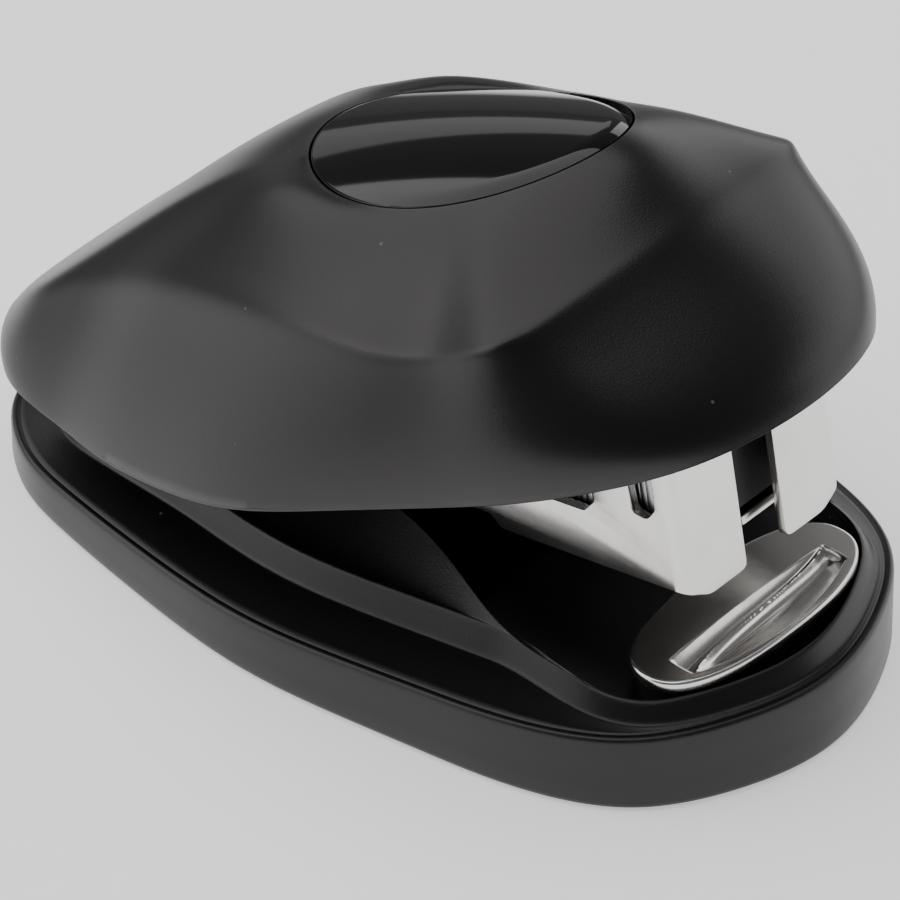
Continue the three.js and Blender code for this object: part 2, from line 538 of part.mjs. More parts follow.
// two stakes hold the driver arm under the roof
const ARM_Z = STRIP_TOP + 0.4;
const ARM_T = 0.8;
const stakes = ARM_POSTS.map(([x, y]) => {
  const at = y - PIN_Y;
  const body = rodZ(2.2, ARM_Z + ARM_T + 0.05, 30, x, at, 24);
  return toMagazine(body.add(rodZ(1.0, ARM_Z + 0.1, 6, x, at, 20)), PRESS_ANGLE).intersect(innerSolid(WALL * 0.5));
});
const bladeRoom = box(-BLADE_WIDTH / 2 - GAP, BLADE_WIDTH / 2 + GAP, -BLADE_REACH - BLADE_T, -BLADE_REACH + 6,
  ARM_Z - 2, ARM_Z + ARM_T + 0.6 + GAP);
cover = cover.subtract(toMagazine(bladeRoom, PRESS_ANGLE));
cover = union(cover, ...stakes).subtract(pocket);
part('top_cover', cover, BLACK, 0.45, 0);

const inlay = skin([
  ovalAt(0.95, 1.0), ovalAt(0.965, 0.8), ovalAt(0.965, 0.12), ovalAt(0.95, 0.0), ovalAt(0.9, 0.1),
  ovalAt(0.75, 0.4), ovalAt(0.4, 0.62),
]);
part('cover_inlay', inlay, GLOSS, 0.12, 0);

// driver arm and blade, drawn in the pressed position and swung up to rest
const ARM_HALF = BLADE_WIDTH / 2 - 0.1;
const ARM_FRONT = -BLADE_REACH + BLADE_T / 2 + 0.1;
const armEar = [
  [-5, ARM_Z + 0.1], [-2.3, 0], [-1.6, -1.6], [0, -2.2], [1.6, -1.6], [2.2, 0], [1.4, 1.6], [-1.2, 2.2],
  [-3.2, ARM_Z + 0.1],
];
let arm = union(
  box(-ARM_HALF, ARM_HALF, ARM_FRONT, -3.2, ARM_Z, ARM_Z + ARM_T),
  acrossX(armEar, ARM_HALF - 0.8, ARM_HALF),
  acrossX(armEar, -ARM_HALF, -ARM_HALF + 0.8));
arm = arm.subtract(rodX(PIN_R + 0.15, -8, 8, 0, 0));
for (const [x, y] of ARM_POSTS) arm = arm.subtract(rodZ(1.25, 0, 8, x, y - PIN_Y, 20));
arm = arm.subtract(rodZ(0.95, 0, 8, 0, ARM_FRONT + 2.2, 20));
part('driver_arm', toMagazine(arm, PRESS_ANGLE), STEEL, 0.35, 1);

let blade = union(
  box(-BLADE_WIDTH / 2, BLADE_WIDTH / 2, -BLADE_REACH - BLADE_T / 2, -BLADE_REACH + BLADE_T / 2,
    SIDE_BOTTOM, ARM_Z + ARM_T + 0.6),
  box(-4, 4, -BLADE_REACH, ARM_FRONT + 4, ARM_Z + ARM_T + 0.1, ARM_Z + ARM_T + 0.6));
blade = blade.subtract(rodZ(0.95, 0, 8, 0, ARM_FRONT + 2.2, 20));
part('driver_blade', toMagazine(blade, PRESS_ANGLE), STEEL, 0.25, 1);

const rivet = union(
  rodZ(0.85, ARM_Z + 0.05, ARM_Z + ARM_T + 0.8, 0, ARM_FRONT + 2.2, 20),
  rodZ(1.6, ARM_Z + ARM_T + 0.7, ARM_Z + ARM_T + 1.2, 0, ARM_FRONT + 2.2, 24));
part('blade_rivet', toMagazine(rivet, PRESS_ANGLE), STEEL, 0.35, 1);

// ---- springs -----------------------------------------------------------------
const LEAF_T = 0.3;
const leafZ = BRACKET_Z + 0.75;
const leafLine = [[18.5 * ky, 0], [5.6 * ky, 0], [2 * ky, 0.8], [-3 * ky, 3.4], [-5.2 * ky, 4.1], [-6.6 * ky, 3.7]];
const leafProfile = [
  ...leafLine.map(([y, z]) => [y, leafZ + z]),
  ...leafLine.map(([y, z]) => [y, leafZ + z + LEAF_T]).reverse(),
];
let leaf = acrossX(leafProfile, -3.2, 3.2);
for (const y of SCREW_Y) leaf = leaf.subtract(rodZ(1.2, 3, 8, 0, y * ky, 24));
part('lift_spring', leaf, STEEL, 0.3, 1);

function sweptWire(points, wire, steps) {
  const path = new THREE.CatmullRomCurve3(points.map((p) => new THREE.Vector3(...p)), false, 'centripetal');
  const section = shapeOf(Array.from({ length: 5 }, (_, i) => [
    wire * Math.cos(i * 72 * deg), wire * Math.sin(i * 72 * deg)]));
  return toSolid(new THREE.ExtrudeGeometry(section, { steps, extrudePath: path, bevelEnabled: false }));
}
const TURNS = 5.5;
const springPoints = [[-2.8, -6.4, FLOOR_Z + SHEET + 0.5], [-2.8, -3.4, -3.0]];
for (let i = 0; i <= TURNS * 8; i++) {
  const t = -90 * deg + (i / 8) * 360 * deg;
  springPoints.push([-2.8 + (5.6 * i) / (TURNS * 8), 2.05 * Math.cos(t), 2.05 * Math.sin(t)]);
}
springPoints.push([2.9, -1.6, 2.15], [2.9, -5.0, 2.75], [2.9, -9.0, 3.3]);
part('cover_spring', toMagazine(sweptWire(springPoints, 0.32, 110)), STEEL, 0.3, 1);

export default group;
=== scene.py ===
"""Looks of the compact desk stapler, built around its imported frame. Lengths in the code are millimetres
until a mesh is made; the finished pieces are in metres, in the frame's own axes."""

import json
import math

import bmesh
import bpy
import numpy as np
from mathutils import Matrix, Vector
from mathutils.bvhtree import BVHTree


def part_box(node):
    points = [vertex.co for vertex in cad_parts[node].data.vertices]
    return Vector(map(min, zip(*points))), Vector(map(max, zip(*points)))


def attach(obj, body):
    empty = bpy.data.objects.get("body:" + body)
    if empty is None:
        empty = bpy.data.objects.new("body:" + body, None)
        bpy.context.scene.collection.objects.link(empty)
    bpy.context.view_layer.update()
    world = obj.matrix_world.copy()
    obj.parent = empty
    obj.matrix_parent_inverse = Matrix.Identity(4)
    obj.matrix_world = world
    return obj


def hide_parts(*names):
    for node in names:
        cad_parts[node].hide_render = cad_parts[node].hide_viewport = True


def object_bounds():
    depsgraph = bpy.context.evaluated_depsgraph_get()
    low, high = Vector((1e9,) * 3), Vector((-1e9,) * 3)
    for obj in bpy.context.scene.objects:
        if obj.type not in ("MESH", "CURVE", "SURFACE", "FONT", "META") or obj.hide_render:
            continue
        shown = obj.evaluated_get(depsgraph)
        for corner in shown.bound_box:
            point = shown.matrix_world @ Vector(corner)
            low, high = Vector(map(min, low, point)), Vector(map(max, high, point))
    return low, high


MM = 0.001
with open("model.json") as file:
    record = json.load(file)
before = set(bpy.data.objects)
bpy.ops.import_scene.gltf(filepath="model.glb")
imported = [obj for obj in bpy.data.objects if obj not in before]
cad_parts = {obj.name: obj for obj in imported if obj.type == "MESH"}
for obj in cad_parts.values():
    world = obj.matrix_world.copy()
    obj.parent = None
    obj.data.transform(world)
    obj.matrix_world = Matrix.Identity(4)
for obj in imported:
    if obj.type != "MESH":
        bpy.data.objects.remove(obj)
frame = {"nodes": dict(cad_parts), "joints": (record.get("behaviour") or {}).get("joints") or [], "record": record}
cad_low, cad_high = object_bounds()
scene = bpy.context.scene
for old in [o for o in scene.objects if o.type in ("CAMERA", "LIGHT")]:
    bpy.data.objects.remove(old)


def box_mm(node):
    low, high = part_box(node)
    return np.array(low) / MM, np.array(high) / MM


# ---- sizes taken from the frame --------------------------------------------------------------------
joints = {j["name"]: j for j in frame["joints"]}
PIN_Y = joints["cover_hinge"]["pos_m"][1] / MM
PIN_Z = joints["cover_hinge"]["pos_m"][2] / MM
slide_axis = joints["pusher_slide"]["axis"]
TILT = math.atan2(-slide_axis[2], slide_axis[1])
LENGTH = (cad_high.y - cad_low.y) / MM
KY = LENGTH / 60.5
KX = box_mm("base_shell")[1][0] / 17.95
MAG_HALF = box_mm("magazine_body")[1][0]
MAG_REACH = LENGTH - 13.6
ANVIL_TOP = box_mm("anvil_plate")[1][2]
ANVIL_Y = float(np.mean([box_mm("anvil_plate")[0][1], box_mm("anvil_plate")[1][1]]))
WELL_FLOOR = 5.7
TROUGH_FLOOR = box_mm("base_bracket")[0][2] - 0.3
RIM_FRONT = 5.9
RIM_BACK = 2.9


def smooth(low, high, value):
    t = np.clip((value - low) / (high - low), 0, 1)
    return t * t * (3 - 2 * t)


# ---- meshes ------------------------------------------------------------------------------------------
def add_object(name, mesh):
    obj = bpy.data.objects.new(name, mesh)
    scene.collection.objects.link(obj)
    return obj


def clean(mesh, sharp=40.0):
    """Merges coincident points, turns the faces outward and keeps edges over the angle sharp."""
    bm = bmesh.new()
    bm.from_mesh(mesh)
    bmesh.ops.remove_doubles(bm, verts=bm.verts, dist=2e-6)
    bmesh.ops.dissolve_degenerate(bm, edges=bm.edges, dist=1e-7)
    bmesh.ops.recalc_face_normals(bm, faces=bm.faces)
    bm.to_mesh(mesh)
    bm.free()
    mesh.shade_smooth()
    mesh.set_sharp_from_angle(angle=math.radians(sharp))
    return mesh


def raw_mesh(name, verts, faces):
    mesh = bpy.data.meshes.new(name)
    points = [tuple(v * MM) for v in np.asarray(verts, float)]
    mesh.from_pydata(points, [], [tuple(map(int, f)) for f in faces])
    return mesh


def ring_faces(rings, count):
    """Quads between neighbouring rings of equal count."""
    faces = []
    for r in range(rings - 1):
        for i in range(count):
            a, b = r * count + i, r * count + (i + 1) % count
            faces.append((a, b, b + count, a + count))
    return faces


def skinned(name, rings, sharp=40.0):
    """Closed body over a list of rings; its first and last ring have shrunk to a point or a line."""
    rings = np.asarray(rings, float)
    count = rings.shape[1]
    verts = rings.reshape(-1, 3)
    return clean(raw_mesh(name, verts, ring_faces(len(rings), count)), sharp)


def joined(name, meshes, sharp=40.0):
    """One mesh out of several closed bodies."""
    bm = bmesh.new()
    for mesh in meshes:
        bm.from_mesh(mesh)
    out = bpy.data.meshes.new(name)
    bm.to_mesh(out)
    bm.free()
    out.shade_smooth()
    out.set_sharp_from_angle(angle=math.radians(sharp))
    return out


def loop_of(half):
    """Full closed outline from the points of its +X half."""
    half = np.asarray(half, float)
    mirrored = half[-2:0:-1].copy()
    mirrored[:, 0] *= -1
    return np.vstack([half, mirrored])


def knots_of(*loops):
    """Curve parameter shared by several loops: the mean distance between neighbouring points."""
    steps = np.mean([np.linalg.norm(np.roll(p, -1, 0) - p, axis=1) for p in loops], axis=0)
    return np.concatenate([[0], np.cumsum(steps)])


def closed_curve(points, knots, count):
    """Smooth closed curve through the points, sampled evenly in its parameter."""
    n = len(points)
    h = np.diff(knots)
    a = np.zeros((n, n))
    rhs = np.zeros_like(points)
    for i in range(n):
        j = (i + 1) % n
        a[i, i - 1] += h[i - 1]
        a[i, i] += 2 * (h[i - 1] + h[i])
        a[i, j] += h[i]
        rhs[i] = 6 * ((points[j] - points[i]) / h[i] - (points[i] - points[i - 1]) / h[i - 1])
    m = np.linalg.solve(a, rhs)
    t = np.linspace(0, knots[-1], count, endpoint=False)
    i = np.clip(np.searchsorted(knots, t, side="right") - 1, 0, n - 1)
    j = (i + 1) % n
    w = ((t - knots[i]) / h[i])[:, None]
    k = (h[i] ** 2 / 6)[:, None]
    return (1 - w) * points[i] + w * points[j] + (((1 - w) ** 3 - (1 - w)) * m[i] + (w**3 - w) * m[j]) * k


def plan_normal(ring):
    """Outward direction in plan at each point of a ring that runs anticlockwise."""
    t = np.roll(ring, -1, 0) - np.roll(ring, 1, 0)
    n = np.stack([t[:, 1], -t[:, 0], 0 * t[:, 0]], 1)
    return n / np.linalg.norm(n, axis=1)[:, None]


def inset(ring, amount, z):
    out = ring - plan_normal(ring) * np.reshape(amount, (-1, 1))
    out[:, 2] = z
    return out


def squeezed(ring, k, z=None):
    out = ring.copy()
    out[:, 0] *= k
    if z is not None:
        out[:, 2] = z
    return out


def fillet(corners, steps=5):
    """Closed outline through corners (a, b, radius), each corner rounded with its radius."""
    pts = np.array([c[:2] for c in corners], float)
    out = []
    for i, corner in enumerate(corners):
        p, before, after = pts[i], pts[i - 1], pts[(i + 1) % len(pts)]
        radius = corner[2]
        if radius <= 0:
            out.append(p)
            continue
        u = (before - p) / np.linalg.norm(before - p)
        v = (after - p) / np.linalg.norm(after - p)
        angle = math.acos(np.clip(u @ v, -1, 1))
        reach = radius / math.tan(angle / 2)
        reach = min(reach, 0.49 * np.linalg.norm(before - p), 0.49 * np.linalg.norm(after - p))
        start, end = p + u * reach, p + v * reach
        for s in np.linspace(0, 1, steps + 1):
            out.append((1 - s) ** 2 * start + 2 * s * (1 - s) * p + s * s * end)
    return np.array(out)


def circle(cx, cy, r, steps=40):
    t = np.linspace(0, 2 * math.pi, steps, endpoint=False)
    return np.stack([cx + r * np.cos(t), cy + r * np.sin(t)], 1)


def plate(outlines, thickness, edge=0.08, cuts=()):
    """Flat sheet with holes and rounded edges, as (points, faces); cuts are lines across its first axis."""
    curve = bpy.data.curves.new("outline", "CURVE")
    curve.dimensions = "2D"
    curve.fill_mode = "BOTH"
    curve.extrude = thickness / 2 - edge
    curve.bevel_depth = edge
    curve.bevel_resolution = 2
    curve.offset = -edge
    for points in outlines:
        spline = curve.splines.new("POLY")
        spline.points.add(len(points) - 1)
        for target, (a, b) in zip(spline.points, points):
            target.co = (a, b, 0, 1)
        spline.use_cyclic_u = True
    holder = add_object("outline", curve)
    bpy.context.view_layer.update()
    mesh = bpy.data.meshes.new_from_object(holder.evaluated_get(bpy.context.evaluated_depsgraph_get()))
    bm = bmesh.new()
    bm.from_mesh(mesh)
    bmesh.ops.remove_doubles(bm, verts=bm.verts, dist=1e-4)
    for at in cuts:
        everything = bm.verts[:] + bm.edges[:] + bm.faces[:]
        bmesh.ops.bisect_plane(bm, geom=everything, plane_co=(at, 0, 0), plane_no=(1, 0, 0))
    bmesh.ops.triangulate(bm, faces=bm.faces)
    bm.verts.index_update()
    verts = np.array([v.co for v in bm.verts], float)
    faces = [tuple(v.index for v in f.verts) for f in bm.faces]
    bm.free()
    bpy.data.objects.remove(holder)
    bpy.data.curves.remove(curve)
    bpy.data.meshes.remove(mesh)
    return verts, faces


def magazine_to_row(points, extra=0.0):
    """From the level magazine frame on the pin axis to the stapler's frame."""
    a = TILT + extra
    p = np.asarray(points, float)
    y = p[:, 1] * math.cos(a) + p[:, 2] * math.sin(a)
    z = -p[:, 1] * math.sin(a) + p[:, 2] * math.cos(a)
    return np.stack([p[:, 0], y + PIN_Y, z + PIN_Z], 1)


def rod(radius, start, end, segments=32, chamfer=0.0):
    """Round bar between two points, with chamfered ends."""
    start, end = np.asarray(start, float), np.asarray(end, float)
    axis = (end - start) / np.linalg.norm(end - start)
    side = np.cross(axis, [1, 0, 0] if abs(axis[0]) < 0.9 else [0, 1, 0])
    side /= np.linalg.norm(side)
    other = np.cross(axis, side)
    t = np.linspace(0, 2 * math.pi, segments, endpoint=False)[:, None]
    round_ = np.cos(t) * side + np.sin(t) * other
    c = chamfer
    length = np.linalg.norm(end - start)
    stations = [(0, 0.0), (0, radius - c), (c, radius)]
    stations += [(length - c, radius), (length, radius - c), (length, 0.0)]
    return skinned("rod", [start + axis * s + round_ * r for s, r in stations], 30)


FULL_WEAR_ANGLE = 0.5   # radians between two faces at which an edge counts as fully exposed


def mark_edges(mesh, name="edge_wear"):
    """Stores how convex the surface is at each point, from 0 on flat ground to 1 on a tight edge."""
    bm = bmesh.new()
    bm.from_mesh(mesh)
    values = []
    for v in bm.verts:
        bend = 0.0
        for e in v.link_edges:
            if len(e.link_faces) == 2:
                bend = max(bend, e.calc_face_angle_signed(0.0))
        values.append(bend)
    bm.free()
    values = np.clip(np.array(values) / FULL_WEAR_ANGLE, 0, 1)
    attribute = mesh.attributes.new(name, "FLOAT", "POINT")
    attribute.data.foreach_set("value", values.astype(np.float32))


# ---- shader building blocks ------------------------------------------------------------------------
class Graph:
    """Short way to add nodes to a tree and wire them."""

    def __init__(self, tree):
        self.tree = tree
        self.x = 0

    def add(self, kind, settings=None, **inputs):
        node = self.tree.nodes.new(kind)
        node.location = (self.x, 0)
        self.x += 180
        for key, value in (settings or {}).items():
            setattr(node, key, value)
        for key, value in inputs.items():
            self.feed(node, key.replace("_", " "), value)
        return node

    def feed(self, node, socket, value):
        target = node.inputs[socket]
        if isinstance(value, bpy.types.NodeSocket):
            self.tree.links.new(value, target)
        else:
            target.default_value = value

    def math(self, operation, a, b=0.0, clamp=False):
        node = self.add("ShaderNodeMath", {"operation": operation, "use_clamp": clamp})
        self.feed(node, 0, a)
        self.feed(node, 1, b)
        return node.outputs[0]

    def mix(self, factor, a, b):
        node = self.add("ShaderNodeMix", {"data_type": "RGBA"})
        self.feed(node, 0, factor)
        self.feed(node, 6, a)
        self.feed(node, 7, b)
        return node.outputs[2]

    def ramp(self, value, low, high):
        node = self.add("ShaderNodeMapRange", {"interpolation_type": "SMOOTHSTEP"})
        self.feed(node, 0, value)
        self.feed(node, 1, low)
        self.feed(node, 2, high)
        return node.outputs[0]


def shader_group(name, inputs, outputs):
    """Node group with named sockets; inputs are (name, kind, default)."""
    tree = bpy.data.node_groups.new(name, "ShaderNodeTree")
    for label, kind, default in inputs:
        socket = tree.interface.new_socket(label, in_out="INPUT", socket_type=kind)
        socket.default_value = default
    for label, kind in outputs:
        tree.interface.new_socket(label, in_out="OUTPUT", socket_type=kind)
    graph = Graph(tree)
    return graph, graph.add("NodeGroupInput").outputs, tree


def close_group(graph, **results):
    end = graph.add("NodeGroupOutput")
    for label, value in results.items():
        graph.feed(end, label.replace("_", " "), value)
    return graph.tree


FLOAT, COLOR = "NodeSocketFloat", "NodeSocketColor"


def mould_grain_group():
    """Fine spark-eroded texture of a moulding."""
    g, i, tree = shader_group("mould_grain", [("Size", FLOAT, 0.2), ("Depth", FLOAT, 1.0)],
                              [("Height", FLOAT), ("Mottle", FLOAT)])
    at = g.add("ShaderNodeTexCoord").outputs["Object"]
    scale = g.math("DIVIDE", 1000.0, i["Size"])
    noise = g.add("ShaderNodeTexNoise", {"noise_dimensions": "3D"}, Vector=at, Scale=scale, Detail=2.0,
                  Roughness=0.6)
    cells = g.add("ShaderNodeTexVoronoi", {"feature": "SMOOTH_F1"}, Vector=at, Scale=scale, Smoothness=0.6)
    both = g.math("ADD", g.math("MULTIPLY", noise.outputs[0], 0.7), g.math("MULTIPLY", cells.outputs[0], 0.5))
    broad = g.add("ShaderNodeTexNoise", Vector=at, Scale=90.0, Detail=3.0, Roughness=0.55)
    return close_group(g, Height=g.math("MULTIPLY", both, i["Depth"]), Mottle=broad.outputs[0])


def handling_group():
    """Lighter, smoother wear on the edges, faint rub marks and a little dust on faces that look up."""
    g, i, tree = shader_group(
        "handling_marks",
        [("Color", COLOR, (0.02, 0.02, 0.02, 1)), ("Roughness", FLOAT, 0.4), ("Wear", FLOAT, 0.3),
         ("Rubbing", FLOAT, 0.2), ("Dust", FLOAT, 0.1)],
        [("Color", COLOR), ("Roughness", FLOAT)])
    at = g.add("ShaderNodeTexCoord").outputs["Object"]
    edge = g.add("ShaderNodeAttribute", {"attribute_name": "edge_wear"}).outputs["Fac"]
    patch = g.add("ShaderNodeTexNoise", Vector=at, Scale=260.0, Detail=4.0, Roughness=0.6).outputs[0]
    worn = g.math("MULTIPLY", g.ramp(g.math("MULTIPLY", edge, patch), 0.12, 0.5), i["Wear"], clamp=True)
    rub = g.add("ShaderNodeTexNoise", Vector=at, Scale=45.0, Detail=5.0, Roughness=0.65).outputs[0]
    rubbed = g.math("MULTIPLY", g.ramp(rub, 0.42, 0.7), i["Rubbing"])
    specks = g.add("ShaderNodeTexVoronoi", Vector=at, Scale=520.0, Randomness=1.0)
    speck = g.math("LESS_THAN", specks.outputs[0], 0.055)
    rare = g.math("GREATER_THAN", g.add("ShaderNodeSeparateColor", Color=specks.outputs[1]).outputs[0], 0.72)
    up = g.add("ShaderNodeSeparateXYZ", Vector=g.add("ShaderNodeNewGeometry").outputs["Normal"]).outputs[2]
    settled = g.math("MULTIPLY", g.ramp(up, 0.1, 0.8), i["Dust"])
    dust = g.math("MULTIPLY", g.math("MULTIPLY", speck, rare), settled)
    lighter = g.mix(worn, i["Color"], (0.11, 0.1, 0.105, 1))
    dusty = g.mix(dust, lighter, (0.32, 0.31, 0.29, 1))
    rough = g.math("SUBTRACT", i["Roughness"], g.math("MULTIPLY", worn, 0.1))
    rough = g.math("SUBTRACT", rough, g.math("MULTIPLY", rubbed, 0.12))
    rough = g.math("ADD", rough, g.math("MULTIPLY", dust, 0.4), clamp=True)
    return close_group(g, Color=dusty, Roughness=rough)


def plated_metal_group():
    """Plated sheet: faint rolling lines, cloudy plating and fine pits."""
    g, i, tree = shader_group(
        "plated_metal",
        [("Color", COLOR, (0.7, 0.7, 0.7, 1)), ("Roughness", FLOAT, 0.2), ("Lines", FLOAT, 0.3),
         ("Clouds", FLOAT, 0.3)],
        [("Color", COLOR), ("Roughness", FLOAT), ("Height", FLOAT)])
    at = g.add("ShaderNodeTexCoord").outputs["Object"]
    along = g.add("ShaderNodeMapping", Vector=at, Scale=(2600.0, 120.0, 2600.0)).outputs[0]
    lines = g.add("ShaderNodeTexNoise", Vector=along, Scale=1.0, Detail=3.0, Roughness=0.6).outputs[0]
    cloud = g.add("ShaderNodeTexNoise", Vector=at, Scale=220.0, Detail=5.0, Roughness=0.6).outputs[0]
    orange = g.add("ShaderNodeTexNoise", Vector=at, Scale=1500.0, Detail=2.0, Roughness=0.5).outputs[0]
    tone = g.math("MULTIPLY", g.ramp(cloud, 0.3, 0.75), i["Clouds"])
    color = g.mix(tone, i["Color"], (0.46, 0.44, 0.43, 1))
    rough = g.math("ADD", i["Roughness"], g.math("MULTIPLY", tone, 0.25))
    rough = g.math("ADD", rough, g.math("MULTIPLY", g.math("MULTIPLY", lines, i["Lines"]), 0.12), clamp=True)
    height = g.math("ADD", g.math("MULTIPLY", lines, i["Lines"]), g.math("MULTIPLY", orange, 0.5))
    return close_group(g, Color=color, Roughness=rough, Height=height)


grain_group = mould_grain_group()
marks_group = handling_group()
metal_group = plated_metal_group()


def new_material(name):
    material = bpy.data.materials.new(name)
    material.use_nodes = True
    material.node_tree.nodes.clear()
    graph = Graph(material.node_tree)
    shader = graph.add("ShaderNodeBsdfPrincipled")
    out = graph.add("ShaderNodeOutputMaterial")
    graph.feed(out, "Surface", shader.outputs[0])
    return material, graph, shader


def plastic(name, color, roughness, grain=0.2, depth=0.5, wear=0.3, rubbing=0.3, dust=0.3):
    """Moulded plastic or rubber; grain is the size of its texture in millimetres."""
    material, g, shader = new_material(name)
    texture = g.add("ShaderNodeGroup", {"node_tree": grain_group}, Size=grain, Depth=1.0)
    base = g.mix(g.ramp(texture.outputs["Mottle"], 0.3, 0.7), (*color, 1), (*[c * 1.25 for c in color], 1))
    marks = g.add("ShaderNodeGroup", {"node_tree": marks_group}, Color=base, Roughness=roughness, Wear=wear,
                  Rubbing=rubbing, Dust=dust)
    g.feed(shader, "Base Color", marks.outputs["Color"])
    g.feed(shader, "Roughness", marks.outputs["Roughness"])
    shader.inputs["Specular Tint"].default_value = (1.0, 0.955, 0.985, 1)
    bump = g.add("ShaderNodeBump", Strength=depth, Distance=0.00004, Height=texture.outputs["Height"])
    g.feed(shader, "Normal", bump.outputs[0])
    return material


def metal(name, color, roughness, lines=0.3, clouds=0.3, depth=0.25):
    """Plated or drawn steel."""
    material, g, shader = new_material(name)
    sheet = g.add("ShaderNodeGroup", {"node_tree": metal_group}, Color=(*color, 1), Roughness=roughness,
                  Lines=lines, Clouds=clouds)
    g.feed(shader, "Base Color", sheet.outputs["Color"])
    g.feed(shader, "Roughness", sheet.outputs["Roughness"])
    shader.inputs["Metallic"].default_value = 1.0
    bump = g.add("ShaderNodeBump", Strength=depth, Distance=0.00002, Height=sheet.outputs["Height"])
    g.feed(shader, "Normal", bump.outputs[0])
    return material


MATERIALS = {
    "satin_black_plastic": plastic("satin_black", (0.0042, 0.0037, 0.0044), 0.34, grain=0.11, depth=0.22,
                                   wear=0.08),
    "gloss_black_plastic": plastic("gloss_black", (0.003, 0.003, 0.0032), 0.06, depth=0.01, wear=0.0,
                                   dust=0.15, rubbing=0.1),
    "inner_black_plastic": plastic("inner_black", (0.012, 0.012, 0.013), 0.5, depth=0.3),
    "rubber_mat": plastic("rubber", (0.022, 0.022, 0.023), 0.78, grain=0.45, depth=0.8, dust=0.5),
    "nickel_plated_sheet": metal("nickel", (0.87, 0.85, 0.83), 0.17, clouds=0.2),
    "zinc_plated_steel": metal("zinc", (0.55, 0.56, 0.575), 0.34, clouds=0.5),
    "spring_steel": metal("spring_steel", (0.48, 0.49, 0.51), 0.27, lines=0.5),
    "staple_wire": metal("staple_wire", (0.62, 0.62, 0.63), 0.3, lines=0.6),
}


def finish_piece(name, mesh, slot, body, *nodes):
    """Puts a finished mesh on its body in place of the CAD nodes it stands for."""
    if "edge_wear" not in mesh.attributes:
        mark_edges(mesh)
    mesh.materials.clear()
    mesh.materials.append(MATERIALS[slot])
    obj = add_object(name, mesh)
    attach(obj, body)
    if nodes:
        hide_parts(*nodes)
    return obj


# ---- base moulding -----------------------------------------------------------------------------------
AROUND = 448
half_base = np.array([
    [0, -30.25, 0], [6.8, -28.6, 0], [12.4, -24.7, 0], [15.4, -18.4, 0], [16.7, -11.2, 0], [17.7, -3.6, 0],
    [17.9, 3.4, 0], [16.9, 11.2, 0], [15.3, 19.4, 0], [13.3, 24.8, 0], [10.2, 28.3, 0], [5.2, 29.9, 0],
    [0, 30.25, 0],
]) * [KX, KY, 1]
half_cavity = np.array([
    [0, -27.7, 0], [5.6, -27.0, 0], [9.9, -24.4, 0], [11.6, -19.6, 0], [11.2, -13.2, 0], [9.5, -6.8, 0],
    [8.95, 1.5, 0], [8.9, 10.0, 0], [9.0, 18.6, 0], [10.4, 23.2, 0], [9.6, 25.6, 0], [5.0, 26.3, 0],
    [0, 26.4, 0],
]) * [KX, KY, 1]
base_knots = knots_of(loop_of(half_base), loop_of(half_cavity))
rim = closed_curve(loop_of(half_base), base_knots, AROUND)
cavity = closed_curve(loop_of(half_cavity), base_knots, AROUND)
y = rim[:, 1]
rim_z = RIM_FRONT + (RIM_BACK - RIM_FRONT) * (y + LENGTH / 2) / LENGTH
step_in = 0.85 + 2.9 * smooth(-27 * KY, -14 * KY, y) - 1.0 * smooth(10 * KY, 26 * KY, y)
step_z = rim_z + 0.1 + 0.75 * smooth(-27 * KY, -14 * KY, y) - 0.4 * smooth(8 * KY, 26 * KY, y)
ridge_z = rim_z + 1.25 + 1.45 * smooth(-27 * KY, -14 * KY, y) - 0.9 * smooth(8 * KY, 26 * KY, y)
cy = cavity[:, 1]
cavity_z = 6.3 + 1.5 * smooth(-25.5 * KY, -17 * KY, cy) + 2.6 * smooth(-16 * KY, -2 * KY, cy) \
    - 3.2 * smooth(6 * KY, 26 * KY, cy)
floor_z = TROUGH_FLOOR + (WELL_FLOOR - TROUGH_FLOOR) * smooth(-6.5 * KY, -9.5 * KY, cy)

rings = [squeezed(inset(rim, 2.4, 1.7), k) for k in (0.0, 0.3, 0.65)]
rings += [inset(rim, a, z) for a, z in
          ((2.4, 1.7), (2.4, 0.3), (2.25, 0.15), (0.5, 0.15), (0.2, 0.2), (0.05, 0.35), (0.0, 0.6))]
rings += [inset(rim, 0.0, 0.6 + (rim_z - 1.1) * s) for s in (0.33, 0.66)]
# rounded top edge with a hairline groove inside it
BEAD = 0.66
rings += [inset(rim, a, rim_z + z) for a, z in
          ((0.0, -0.45), (0.03, -0.26), (0.1, -0.1), (0.22, -0.01), (0.36, 0.0), (0.5, -0.05),
           (0.58, -0.07), (BEAD, 0.0))]
# ledge, then a soft step up to the ridge
STEP_WIDTH = 1.15
for v in np.linspace(0.15, 0.95, 7):
    rings.append(inset(rim, BEAD + (step_in - BEAD) * v, rim_z + (step_z - rim_z) * v**1.15))
for v in np.linspace(0.0, 1, 14):
    rise = v * v * (3 - 2 * v)
    rings.append(inset(rim, step_in + STEP_WIDTH * v, step_z + (ridge_z - step_z) * rise))
ridge = rings[-1]
edge_ring = inset(cavity, -0.12, cavity_z)
for q in np.linspace(0.05, 1, 20):
    ring = ridge + (edge_ring - ridge) * q
    ring[:, 2] = ridge[:, 2] + (cavity_z - ridge[:, 2]) * q**1.5
    rings.append(ring)
rings += [inset(cavity, a, cavity_z - d) for a, d in ((-0.06, 0.02), (0.0, 0.09), (0.03, 0.2))]
depth = cavity_z - floor_z
for s in (0.25, 0.5, 0.75, 0.92):
    rings.append(inset(cavity, 0.03 + 0.55 * s, cavity_z - 0.2 - (depth - 0.2) * s))
floor_ring = inset(cavity, 0.85, floor_z)
rings += [floor_ring, squeezed(floor_ring, 0.7), squeezed(floor_ring, 0.35), squeezed(floor_ring, 0.0)]
